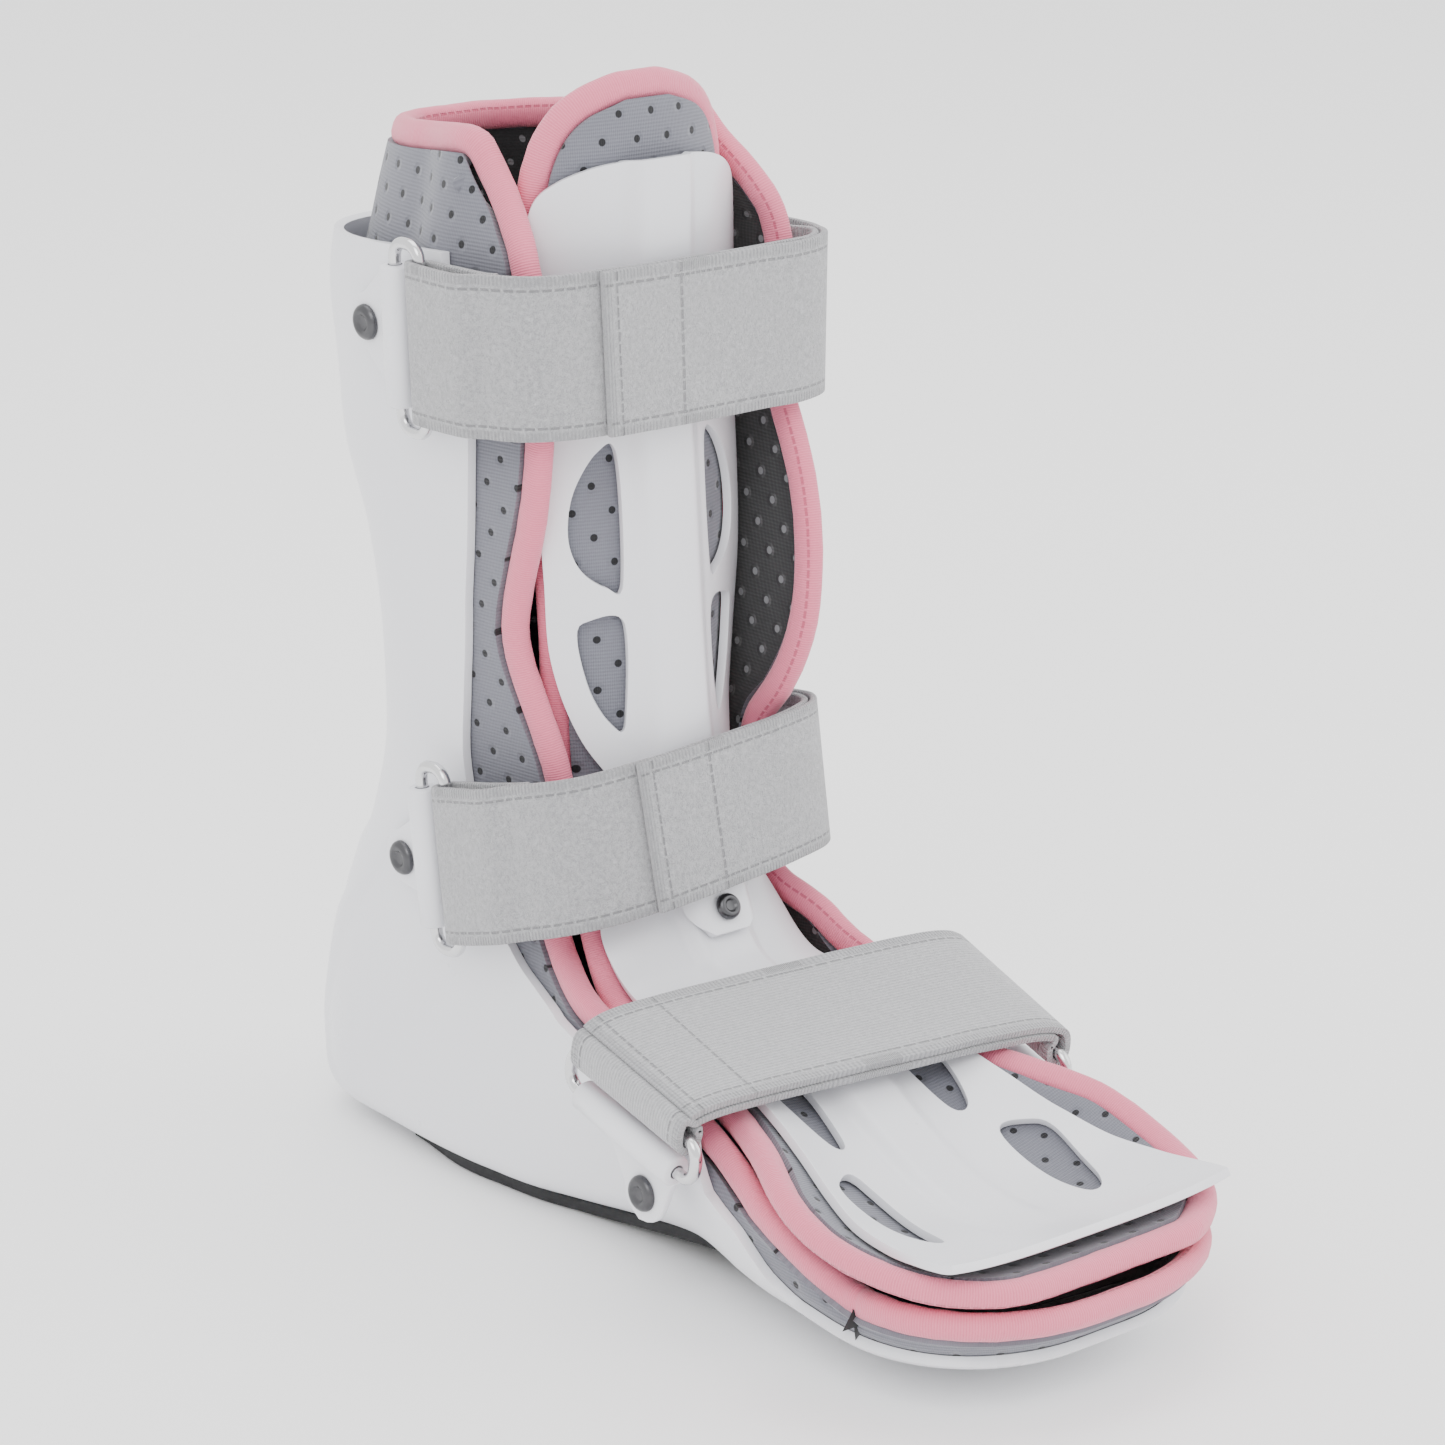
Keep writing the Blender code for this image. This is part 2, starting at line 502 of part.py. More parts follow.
def side_prism(name, outline, half_width):
    """A prism across the boot from an outline of (y, z) points."""
    mesh = bmesh.new()
    face = mesh.faces.new([mesh.verts.new((-half_width, y, z)) for y, z in outline])
    grown = bmesh.ops.extrude_face_region(mesh, geom=[face])
    moved = [item for item in grown["geom"] if isinstance(item, bmesh.types.BMVert)]
    bmesh.ops.translate(mesh, verts=moved, vec=(2 * half_width, 0.0, 0.0))
    bmesh.ops.triangulate(mesh, faces=mesh.faces)
    return mesh


def make_shell(material):
    mesh = sheet_solid(cup_quads(RIM_ROW, 1), cup_place(RIM_ROW, 0.0, SHELL_WALL, shell_reach, 1))
    shell = add_object("shell", mesh, material)
    outline = [(lengthwise(point.y), upward(point.z)) for point in TRAY_RIM]
    cutter = add_object("tray_cutter", side_prism("tray_cutter", outline, 2 * FOOT_HALF_WIDTH), material)
    cut(shell, cutter)
    return shell


def liner_place():
    inset = SHELL_WALL + GAP
    return cup_place(0, inset, inset + LINER_WALL, liner_reach, FLAP_STEPS)


def make_liner(material):
    return add_object("liner", sheet_solid(cup_quads(0, FLAP_STEPS), liner_place()), material)


def make_liner_binding(material):
    count = len(rim_keys(0))
    last = FLAP_STEPS
    keys = [("lip", index, last) for index in range(count)]
    behind = [("lip", index, last - 1) for index in range(count)]
    for step in range(last - 1, 0, -1):
        keys.append(("lip", count - 1, step))
        behind.append(("lip", count - 2, step))
    for column in range(2 * HALF_COLUMNS, -1, -1):
        keys.append((0, column))
        behind.append((1, column))
    for step in range(1, last):
        keys.append(("lip", 0, step))
        behind.append(("lip", 1, step))
    return add_object("liner_binding", bead_on(liner_place(), keys, behind), material)


def pad_row(place):
    return PadRow(*blend_rows(PAD_ROWS, place))


def pad_reference(place):
    return width_reference(place, PAD_BEND_ROW, PAD_FOOT_ROW)


def pad_middle(place):
    row = pad_row(place)
    return Vector((0.0, lengthwise(row.mid_y), upward(row.mid_z)))


def pad_front(place):
    """Direction out of the pad at its middle, in the plane of symmetry."""
    place = clamp(place, 0.05, len(PAD_ROWS) - 1.05)
    along = pad_middle(place + 0.05) - pad_middle(place - 0.05)
    return Vector((0.0, along.z, -along.y)).normalized()


def pad_point(place, across):
    """A point of the pad's outer face, across in metres from its middle."""
    row = pad_row(place)
    reference = pad_reference(place)
    curve = (abs(across) / (row.span * reference)) ** row.curve
    return pad_middle(place) - pad_front(place) * row.fall * LEG_HALF_WIDTH * curve + X_AXIS * across


def pad_normal(place, across):
    place = clamp(place, 0.05, len(PAD_ROWS) - 1.05)
    along = pad_point(place + 0.05, across) - pad_point(place - 0.05, across)
    sideways = pad_point(place, across + 0.0005) - pad_point(place, across - 0.0005)
    normal = along.cross(sideways).normalized()
    if normal.dot(pad_front(place)) < 0.0:
        normal.negate()
    return normal


def pad_at(place, across, lift=0.0):
    return pad_point(place, across) + pad_normal(place, across) * lift


def pad_place(key):
    row, column = key
    extent = PAD_ROWS[row].extent * pad_reference(row)
    across = extent * (2.0 * column / PAD_COLUMNS - 1.0)
    return pad_at(row, across), pad_at(row, across, -TONGUE_WALL)


def grid_quads(rows, columns):
    return [[(row, column), (row, column + 1), (row + 1, column + 1), (row + 1, column)]
            for row in range(rows) for column in range(columns)]


def make_tongue_pad(material):
    mesh = sheet_solid(grid_quads(len(PAD_ROWS) - 1, PAD_COLUMNS), pad_place)
    return add_object("tongue_pad", mesh, material)


def make_tongue_binding(material):
    last = len(PAD_ROWS) - 1
    keys = [(row, 0) for row in range(last + 1)]
    behind = [(row, 1) for row in range(last + 1)]
    keys += [(last, column) for column in range(1, PAD_COLUMNS)]
    behind += [(last - 1, column) for column in range(1, PAD_COLUMNS)]
    keys += [(row, PAD_COLUMNS) for row in range(last, -1, -1)]
    behind += [(row, PAD_COLUMNS - 1) for row in range(last, -1, -1)]
    keys += [(0, column) for column in range(PAD_COLUMNS - 1, 0, -1)]
    behind += [(1, column) for column in range(PAD_COLUMNS - 1, 0, -1)]
    return add_object("tongue_binding", bead_on(pad_place, keys, behind), material)


def ridge_height(place, across):
    share = clamp(1.0 - abs(across) / RIDGE_HALF_WIDTH)
    first, last = RIDGE_FADE_ROWS
    return PLATE_RIDGE * (3 * share ** 2 - 2 * share ** 3) * clamp((last - place) / (last - first))


def plate_place(rows):
    def place(key):
        row = rows[key[0]]
        extent = row.extent * LEG_HALF_WIDTH
        across = extent * (key[1] / PAD_COLUMNS * 2.0 - 1.0)
        seat = PLATE_SEAT * (1.0 + row.lift) + ridge_height(row.row, across)
        return pad_at(row.row, across, seat + PLATE_WALL), pad_at(row.row, across, seat)

    return place


def make_plate(name, rows, material):
    mesh = sheet_solid(grid_quads(len(rows) - 1, PAD_COLUMNS), plate_place(rows))
    return add_object(name, mesh, material)


def window_prism(outline, low, high):
    """A prism from a closed outline of points, pushed along the vector from low to high."""
    mesh = bmesh.new()
    face = mesh.faces.new([mesh.verts.new(point + low) for point in outline])
    grown = bmesh.ops.extrude_face_region(mesh, geom=[face])
    moved = [item for item in grown["geom"] if isinstance(item, bmesh.types.BMVert)]
    bmesh.ops.translate(mesh, verts=moved, vec=high - low)
    bmesh.ops.triangulate(mesh, faces=mesh.faces)
    return mesh


def cut_shin_windows(plate, material):
    for number, window in enumerate(SHIN_WINDOWS):
        for side, label in ((-1, "near"), (1, "far")):
            outline = [Vector((side * point.across * LEG_HALF_WIDTH, 0.0, upward(point.along)))
                       for point in window]
            mesh = window_prism(outline, Vector((0.0, -LEG_HALF_WIDTH * 1.6, 0.0)), Vector((0.0, 0.0, 0.0)))
            cut(plate, add_object(f"shin_window_{label}_{number}", mesh, material))


def cut_foot_windows(plate, material):
    for number, window in enumerate(FOOT_WINDOWS):
        for side, label in ((-1, "near"), (1, "far")):
            outline = [Vector((side * point.across * LEG_HALF_WIDTH, lengthwise(point.along), 0.0))
                       for point in window]
            mesh = window_prism(outline, Vector((0.0, 0.0, SIDE_HEIGHT * 0.3)),
                                Vector((0.0, 0.0, SIDE_HEIGHT * 1.5)))
            cut(plate, add_object(f"foot_window_{label}_{number}", mesh, material))


def strap_point(end):
    return Vector((end.x * LEG_HALF_WIDTH, lengthwise(end.y), upward(end.z)))


def strap_track(strap, edge):
    """One edge of a strap as a list of points along its whole path, with the path's side normals."""
    near = strap_point(strap.near[edge])
    far = strap_point(strap.far[edge])
    crown = strap_point(strap.crown[edge])
    middle = (near + far) / 2
    across = (far - near).normalized()
    half = (far - near).length / 2
    front = crown - middle
    front -= across * front.dot(across)
    height = front.length
    front.normalize()
    bar = WIRE_RADIUS + 2 * GAP + STRAP_THICKNESS / 2
    layer = STRAP_THICKNESS + STRAP_LAYER_GAP

    def curve(share):
        angle = share * math.pi
        power = 2.0 / (strap.near_curve if share < 0.5 else strap.far_curve)
        return Vector((-half * math.copysign(abs(math.cos(angle)) ** power, math.cos(angle)),
                       height * math.sin(angle) ** power))

    def shifted(share, offset):
        step = 0.004
        low = curve(max(share - step, 0.0))
        high = curve(min(share + step, 1.0))
        along = (high - low).normalized()
        return curve(share) + Vector((-along.y, along.x)) * offset

    def turn(centre, start_angle, sweep):
        return [centre + bar * Vector((math.cos(start_angle + sweep * k / 4), math.sin(start_angle + sweep * k / 4)))
                for k in range(1, 4)]

    def near_bar(share, wide, narrow):
        """Offset that swings from round a bar to flat against the next layer."""
        return mix(wide, narrow, clamp((share - BAR_SHARE) / BAR_SHARE))

    flat = [shifted(share, -near_bar(share, bar, layer)) for share in TAIL_SHARES]
    start = (curve(0.004) - curve(0.0)).normalized()
    right = math.atan2(start.y, start.x) - math.pi / 2
    flat.append(curve(0.0) + bar * Vector((math.cos(right), math.sin(right))))
    flat += turn(curve(0.0), right, -math.pi)
    for index in range(MAIN_STEPS + 1):
        share = index / MAIN_STEPS
        offset = near_bar(share, bar, 0.0) if share < 0.5 else -near_bar(1.0 - share, bar, 0.0)
        flat.append(shifted(share, offset))
    end = (curve(1.0) - curve(0.996)).normalized()
    left = math.atan2(end.y, end.x) - math.pi / 2
    flat += turn(curve(1.0), left, math.pi)
    for index in range(OVERLAY_STEPS + 1):
        share = mix(1.0, strap.overlay, index / OVERLAY_STEPS)
        flat.append(shifted(share, near_bar(1.0 - share, bar, layer)))
    points = []
    for index, point in enumerate(flat):
        along = (flat[min(index + 1, len(flat) - 1)] - flat[max(index - 1, 0)]).normalized()
        side = Vector((-along.y, along.x)) * STRAP_THICKNESS / 2
        points.append([middle + across * spot.x + front * spot.y for spot in (point + side, point - side)])
    return points


def make_strap(strap, material):
    edges = (strap_track(strap, 0), strap_track(strap, 1))
    quads = [[(index, 0), (index, 1), (index + 1, 1), (index + 1, 0)] for index in range(len(edges[0]) - 1)]
    return add_object(strap.name, sheet_solid(quads, lambda key: edges[key[1]][key[0]]), material)


def closed_tube(points, normals, radius, sides):
    """A closed wire along a loop of points that lies in one plane."""
    mesh = bmesh.new()
    rings = []
    for index, point in enumerate(points):
        along = (points[(index + 1) % len(points)] - points[index - 1]).normalized()
        outward = along.cross(normals).normalized()
        ring = []
        for side in range(sides):
            angle = side / sides * math.tau
            ring.append(mesh.verts.new(point + outward * radius * math.cos(angle)
                                       + normals * radius * math.sin(angle)))
        rings.append(ring)
    for ring, following in zip(rings, rings[1:] + rings[:1]):
        for side in range(sides):
            beside = (side + 1) % sides
            mesh.faces.new([ring[side], ring[beside], following[beside], following[side]])
    return mesh


def bracket_frame(strap, side):
    """Bar centre, direction along the bar, and direction from the strap bar to the sleeve bar."""
    ends = strap.near if side < 0 else strap.far
    first = strap_point(ends[0])
    second = strap_point(ends[1])
    along = (second - first).normalized()
    outward = X_AXIS * side
    away = along.cross(outward).normalized()
    if strap.ring_turn:
        away = away if away.z < 0.0 else -away
    else:
        away = away if away.y > 0.0 else -away
    outward = along.cross(away)
    outward = outward if outward.dot(X_AXIS * side) > 0.0 else -outward
    return (first + second) / 2, along, away, outward.normalized()


def ring_points(strap, side):
    middle, along, away, outward = bracket_frame(strap, side)
    half = (strap_point(strap.near[1]) - strap_point(strap.near[0])).length / 2 + WIRE_RADIUS + RING_SLACK
    points = []
    for sign_along, sign_away in ((-1, 0), (1, 0), (1, 1), (-1, 1)):
        corner = middle + along * half * sign_along + away * RING_REACH * sign_away
        centre = corner - along * RING_CORNER * sign_along + away * RING_CORNER * (1 - 2 * sign_away)
        spots = []
        for k in range(2):
            angle = k * math.pi / 2
            spots.append(centre + along * sign_along * RING_CORNER * math.cos(angle)
                         - away * (1 - 2 * sign_away) * RING_CORNER * math.sin(angle))
        if sign_along * (1 - 2 * sign_away) > 0:
            spots.reverse()
        points += spots
    return points, outward


def make_ring(strap, side, label, material):
    points, outward = ring_points(strap, side)
    return add_object(label, closed_tube(points, outward, WIRE_RADIUS, 5), material)


def make_bracket(strap, bracket, side, label, material):
    """A tab on the shell with a sleeve for the ring; the sleeve's bore is cut through both."""
    middle, along, away, outward = bracket_frame(strap, side)
    sleeve_middle = middle + away * RING_REACH
    half = (strap_point(strap.near[1]) - strap_point(strap.near[0])).length / 2 - RING_CORNER
    tab_out = outward * (SLEEVE_RADIUS - TAB_THICKNESS)
    outline = [
        (0.0, -half * 0.96), (bracket.rivet_away * 0.45, -bracket.tab_half), (bracket.rivet_away + 0.004, -0.0085),
        (bracket.rivet_away + 0.008, 0.0), (bracket.rivet_away + 0.004, 0.0085),
        (bracket.rivet_away * 0.45, bracket.tab_half), (0.0, half * 0.96),
    ]
    spots = []
    for far_off, offset in outline:
        slide = bracket.rivet_along * clamp(far_off / bracket.rivet_away)
        spots.append(sleeve_middle - outward * SLEEVE_RADIUS + away * far_off + along * (offset + slide))
    tab = add_object(label, window_prism(spots, Vector(), outward * TAB_THICKNESS), material)
    for name, radius, length, operation, sides in (("sleeve", SLEEVE_RADIUS, half, "UNION", 10),
                                                   ("bore", SLEEVE_BORE, half * 1.5, "DIFFERENCE", 6)):
        mesh = bmesh.new()
        bmesh.ops.create_cone(mesh, cap_ends=True, segments=sides, radius1=radius, radius2=radius, depth=2 * length)
        turn = Z_AXIS.rotation_difference(along).to_matrix().to_4x4()
        turn.translation = sleeve_middle
        bmesh.ops.transform(mesh, matrix=turn, verts=mesh.verts)
        cut(tab, add_object(f"{label}_{name}", mesh, material), operation)
    return tab, tab_out


def add_rivet(label, seat, axis, radius, material):
    """A domed head whose flat side starts a gap above its seat."""
    mesh = bmesh.new()
    bmesh.ops.create_cone(mesh, cap_ends=True, segments=10, radius1=radius, radius2=radius * 0.72,
                          depth=RIVET_HEIGHT)
    turn = Z_AXIS.rotation_difference(axis).to_matrix().to_4x4()
    turn.translation = seat + axis * (GAP + RIVET_HEIGHT / 2)
    bmesh.ops.transform(mesh, matrix=turn, verts=mesh.verts)
    return add_object(label, mesh, material)


def make_bracket_rivet(strap, bracket, side, label, material):
    middle, along, away, outward = bracket_frame(strap, side)
    seat = (middle + away * (RING_REACH + bracket.rivet_away) + along * bracket.rivet_along
            - outward * (SLEEVE_RADIUS - TAB_THICKNESS))
    return add_rivet(label, seat, outward, RIVET_RADIUS, material)


def make_shin_rivet(material):
    row = 13.1
    lift = PLATE_SEAT * 6.2 + PLATE_RIDGE + PLATE_WALL
    return add_rivet("shin_rivet", pad_at(row, 0.0, lift), pad_front(row), SHIN_RIVET_RADIUS, material)


def make_outsole(material):
    rows = list(range(SOLE_FIRST_ROW, SOLE_LAST_ROW + 1))

    def place(key):
        row = rows[key[0]]
        top = form_point(row, 0.0) - Z_AXIS * GAP
        top.x = (key[1] / 2 - 1.0) * SOLE_WIDTHS[key[0]] * FOOT_HALF_WIDTH
        return top, top - Z_AXIS * SOLE_THICKNESS

    return add_object("outsole", sheet_solid(grid_quads(len(rows) - 1, 4), place), material)


def main():
    clear_scene()
    white = finish_material("white_plastic", (0.90, 0.90, 0.92), 0.28)
    grey = finish_material("grey_fabric", (0.36, 0.37, 0.41), 0.9)
    pink = finish_material("pink_binding", (0.90, 0.42, 0.53), 0.85)
    felt = finish_material("strap_felt", (0.60, 0.60, 0.62), 0.95)
    steel = finish_material("steel_wire", (0.75, 0.75, 0.76), 0.22, 1.0)
    dark = finish_material("dark_rivet", (0.12, 0.12, 0.13), 0.35, 0.9)
    rubber = finish_material("black_rubber", (0.03, 0.03, 0.035), 0.7)

    make_shell(white)
    make_outsole(rubber)
    make_liner(grey)
    make_liner_binding(pink)
    make_tongue_pad(grey)
    make_tongue_binding(pink)
    shin_plate = make_plate("shin_plate", SHIN_PLATE_ROWS, white)
    cut_shin_windows(shin_plate, white)
    foot_plate = make_plate("foot_plate", FOOT_PLATE_ROWS, white)
    cut_foot_windows(foot_plate, white)
    for strap, bracket in zip(STRAPS, BRACKETS):
        make_strap(strap, felt)
        for side, label in ((-1, "near"), (1, "far")):
            make_ring(strap, side, f"{bracket.strap}_ring_{label}", steel)
            make_bracket(strap, bracket, side, f"{bracket.strap}_bracket_{label}", white)
            make_bracket_rivet(strap, bracket, side, f"{bracket.strap}_rivet_{label}", dark)
    make_shin_rivet(dark)


main()
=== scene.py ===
import math
from collections import namedtuple

import bmesh
import bpy
from mathutils import Matrix, Vector, noise


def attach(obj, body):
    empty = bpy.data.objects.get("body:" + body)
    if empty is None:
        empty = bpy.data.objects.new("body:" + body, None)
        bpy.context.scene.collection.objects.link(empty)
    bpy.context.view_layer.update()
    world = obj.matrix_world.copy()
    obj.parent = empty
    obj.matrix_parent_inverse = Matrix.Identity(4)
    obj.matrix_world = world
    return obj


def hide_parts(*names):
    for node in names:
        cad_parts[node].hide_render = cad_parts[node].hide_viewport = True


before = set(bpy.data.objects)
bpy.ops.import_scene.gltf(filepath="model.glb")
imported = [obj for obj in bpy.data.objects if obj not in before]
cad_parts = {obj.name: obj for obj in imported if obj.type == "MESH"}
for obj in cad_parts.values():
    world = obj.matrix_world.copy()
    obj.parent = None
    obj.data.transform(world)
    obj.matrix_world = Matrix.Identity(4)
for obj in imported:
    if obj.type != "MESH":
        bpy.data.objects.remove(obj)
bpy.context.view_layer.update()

print("walking boot: frame loaded")

# sizes that more than one piece follows, in metres
boot = {"sideHeight": 0.070, "shellHeight": 0.300, "heelReach": 0.100, "toeReach": 0.240,
        "legHalfWidth": 0.050, "footHalfWidth": 0.060, "gap": 0.0003, "bindingRadius": 0.0047,
        "bindingHalfDepth": 0.0038}

formRow = namedtuple("formRow", "edgeY edgeZ backY backZ halfWidth base cornerX cornerD")
formRows = [
    formRow(0.010, 2.139, 0.830, 2.117, 1.010, 0.97, 0.76, 0.66),
    formRow(0.000, 2.078, 0.860, 2.057, 1.070, 0.98, 0.76, 0.66),
    formRow(0.005, 2.013, 0.880, 1.991, 1.140, 0.98, 0.76, 0.66),
    formRow(-0.021, 1.926, 0.940, 1.913, 1.126, 0.98, 0.76, 0.66),
    formRow(-0.033, 1.817, 0.925, 1.809, 1.096, 0.98, 0.76, 0.66),
    formRow(-0.023, 1.704, 0.900, 1.700, 1.064, 0.98, 0.76, 0.66),
    formRow(-0.008, 1.600, 0.790, 1.596, 1.028, 0.98, 0.76, 0.66),
    formRow(0.010, 1.496, 0.725, 1.491, 1.004, 0.98, 0.76, 0.66),
    formRow(0.040, 1.400, 0.705, 1.387, 0.980, 0.98, 0.76, 0.66),
    formRow(0.060, 1.317, 0.710, 1.261, 0.948, 0.98, 0.76, 0.64),
    formRow(0.035, 1.241, 0.780, 1.152, 0.917, 0.98, 0.76, 0.58),
    formRow(0.010, 1.213, 0.870, 1.081, 0.898, 1.00, 0.77, 0.50),
    formRow(-0.008, 1.174, 0.970, 0.914, 0.886, 1.04, 0.78, 0.43),
    formRow(-0.023, 1.128, 1.040, 0.443, 0.875, 1.05, 0.74, 0.38),
    formRow(-0.033, 1.104, 1.010, 0.243, 0.865, 1.05, 0.64, 0.33),
    formRow(-0.044, 1.085, 0.940, 0.121, 0.855, 1.04, 0.50, 0.26),
    formRow(-0.058, 1.067, 0.800, 0.0614, 0.845, 1.02, 0.40, 0.19),
    formRow(-0.087, 1.041, 0.510, 0.0614, 0.841, 1.03, 0.31, 0.15),
    formRow(-0.131, 1.020, 0.200, 0.0614, 0.853, 1.01, 0.28, 0.14),
    formRow(-0.190, 1.002, -0.037, 0.0614, 0.905, 0.92, 0.31, 0.16),
    formRow(-0.250, 0.957, -0.154, 0.071, 0.948, 0.80, 0.37, 0.20),
    formRow(-0.312, 0.921, -0.271, 0.107, 0.972, 0.74, 0.42, 0.26),
    formRow(-0.379, 0.857, -0.375, 0.140, 0.987, 0.73, 0.46, 0.34),
    formRow(-0.450, 0.764, -0.450, 0.140, 1.002, 0.76, 0.54, 0.44),
    formRow(-0.517, 0.693, -0.517, 0.109, 1.030, 0.80, 0.62, 0.55),
    formRow(-0.558, 0.615, -0.562, 0.086, 1.045, 0.84, 0.68, 0.66),
    formRow(-0.613, 0.543, -0.617, 0.069, 1.050, 0.88, 0.73, 0.74),
    formRow(-0.658, 0.490, -0.667, 0.063, 1.047, 0.90, 0.76, 0.80),
    formRow(-0.704, 0.435, -0.721, 0.063, 1.040, 0.93, 0.78, 0.84),
    formRow(-0.746, 0.389, -0.783, 0.071, 1.030, 0.96, 0.79, 0.86),
    formRow(-0.769, 0.366, -0.850, 0.100, 1.022, 0.99, 0.80, 0.88),
    formRow(-0.785, 0.353, -0.912, 0.151, 1.020, 1.00, 0.82, 0.90),
    formRow(-0.796, 0.347, -0.963, 0.217, 1.020, 1.00, 0.84, 0.92),
    formRow(-0.803, 0.344, -0.994, 0.309, 1.020, 1.00, 0.86, 0.93),
]

edgeRow = namedtuple("edgeRow", "lip lipLean near far nearLean farLean drop")
edgeRows = [
    edgeRow(0.05, 0.000, 0.08, 0.10, -0.02, 0.00, 0.10),
    edgeRow(0.05, 0.000, 0.26, 0.34, -0.04, 0.00, 0.06),
    edgeRow(0.05, 0.000, 0.41, 0.44, -0.06, 0.00, 0.02),
    edgeRow(0.05, 0.000, 0.39, 0.42, -0.06, 0.00, 0.00),
    edgeRow(0.05, 0.000, 0.34, 0.34, -0.06, -0.01, 0.00),
    edgeRow(0.05, 0.000, 0.33, 0.62, -0.04, -0.02, 0.00),
    edgeRow(0.05, 0.000, 0.26, 0.80, -0.02, -0.02, 0.00),
    edgeRow(0.05, 0.000, 0.22, 0.86, -0.01, -0.03, 0.00),
    edgeRow(0.05, 0.000, 0.37, 0.78, -0.04, -0.05, 0.00),
    edgeRow(0.05, 0.000, 0.50, 0.66, -0.06, -0.06, 0.00),
    edgeRow(0.05, 0.000, 0.54, 0.60, -0.06, -0.06, 0.00),
    edgeRow(0.05, 0.000, 0.48, 0.58, -0.05, -0.05, 0.00),
    edgeRow(0.05, 0.000, 0.44, 0.56, -0.04, -0.03, 0.00),
    edgeRow(0.05, 0.000, 0.39, 0.54, -0.03, -0.02, 0.00),
    edgeRow(0.05, 0.000, 0.36, 0.51, -0.02, 0.00, 0.00),
    edgeRow(0.05, 0.000, 0.31, 0.48, -0.01, 0.00, 0.00),
    edgeRow(0.05, 0.000, 0.27, 0.45, 0.00, 0.00, 0.00),
    edgeRow(0.05, 0.000, 0.21, 0.40, 0.00, 0.00, 0.00),
    edgeRow(0.05, 0.005, 0.13, 0.36, 0.00, 0.00, 0.00),
    edgeRow(0.05, 0.010, 0.08, 0.30, 0.00, 0.00, 0.00),
    edgeRow(0.07, 0.015, 0.05, 0.20, -0.03, -0.03, 0.00),
    edgeRow(0.09, 0.015, 0.04, 0.12, -0.03, -0.03, 0.00),
    edgeRow(0.13, 0.015, 0.04, 0.07, -0.03, -0.03, 0.00),
    edgeRow(0.20, 0.015, 0.04, 0.05, -0.03, -0.03, 0.00),
    edgeRow(0.22, 0.015, 0.04, 0.04, -0.03, -0.03, 0.00),
    edgeRow(0.08, 0.010, 0.05, 0.05, -0.03, -0.03, 0.00),
    edgeRow(0.05, 0.000, 0.05, 0.05, 0.01, 0.01, 0.00),
    edgeRow(0.05, 0.000, 0.05, 0.05, 0.03, 0.03, 0.00),
    edgeRow(0.05, 0.000, 0.04, 0.04, 0.04, 0.04, 0.00),
    edgeRow(0.05, 0.000, 0.04, 0.04, 0.04, 0.04, 0.00),
    edgeRow(0.05, 0.000, 0.04, 0.04, 0.04, 0.04, 0.00),
    edgeRow(0.05, 0.000, 0.04, 0.04, 0.04, 0.04, 0.00),
    edgeRow(0.05, 0.000, 0.04, 0.04, 0.04, 0.04, 0.00),
    edgeRow(0.05, 0.000, 0.04, 0.04, 0.04, 0.04, 0.00),
]

padRow = namedtuple("padRow", "midY midZ extent span fall curve")
padRows = [
    padRow(-0.125, 2.204, 0.16, 0.76, 0.28, 2.2),
    padRow(-0.129, 2.187, 0.40, 0.76, 0.28, 2.2),
    padRow(-0.132, 2.152, 0.56, 0.76, 0.28, 2.2),
    padRow(-0.135, 2.091, 0.65, 0.76, 0.28, 2.2),
    padRow(-0.135, 2.000, 0.66, 0.76, 0.28, 2.2),
    padRow(-0.135, 1.909, 0.66, 0.76, 0.28, 2.2),
    padRow(-0.135, 1.813, 0.66, 0.76, 0.28, 2.2),
    padRow(-0.144, 1.700, 0.64, 0.76, 0.28, 2.2),
    padRow(-0.152, 1.587, 0.62, 0.76, 0.30, 2.2),
    padRow(-0.160, 1.474, 0.60, 0.76, 0.39, 2.2),
    padRow(-0.169, 1.365, 0.59, 0.76, 0.49, 2.2),
    padRow(-0.181, 1.274, 0.59, 0.76, 0.48, 2.2),
    padRow(-0.202, 1.191, 0.57, 0.76, 0.40, 2.2),
    padRow(-0.231, 1.124, 0.59, 0.74, 0.29, 2.2),
    padRow(-0.275, 1.059, 0.63, 0.70, 0.15, 2.2),
    padRow(-0.350, 1.022, 0.65, 0.70, 0.02, 2.4),
    padRow(-0.446, 0.957, 0.66, 0.71, -0.05, 2.6),
    padRow(-0.521, 0.857, 0.69, 0.75, -0.12, 2.6),
    padRow(-0.596, 0.721, 0.79, 0.84, -0.25, 2.4),
    padRow(-0.675, 0.593, 0.94, 0.95, -0.31, 2.1),
    padRow(-0.758, 0.536, 0.98, 0.99, -0.27, 2.3),
    padRow(-0.838, 0.543, 0.94, 0.95, -0.19, 2.5),
    padRow(-0.904, 0.579, 0.82, 0.95, -0.14, 3.0),
    padRow(-0.950, 0.621, 0.55, 0.90, -0.06, 3.4),
]

plateRow = namedtuple("plateRow", "row extent lift")
shinPlateRows = [
    plateRow(2.45, 0.22, 0.0), plateRow(2.55, 0.42, 0.0), plateRow(2.8, 0.61, 0.0),
    plateRow(3.2, 0.73, 0.0), plateRow(4.0, 0.77, 0.0), plateRow(5.0, 0.77, 0.0), plateRow(6.0, 0.76, 0.0),
    plateRow(7.0, 0.74, 0.0), plateRow(8.0, 0.72, 0.0), plateRow(9.0, 0.67, 0.0), plateRow(10.0, 0.53, 0.5),
    plateRow(11.0, 0.33, 2.6), plateRow(12.0, 0.25, 4.2), plateRow(13.1, 0.22, 4.2),
    plateRow(13.55, 0.12, 4.2),
]

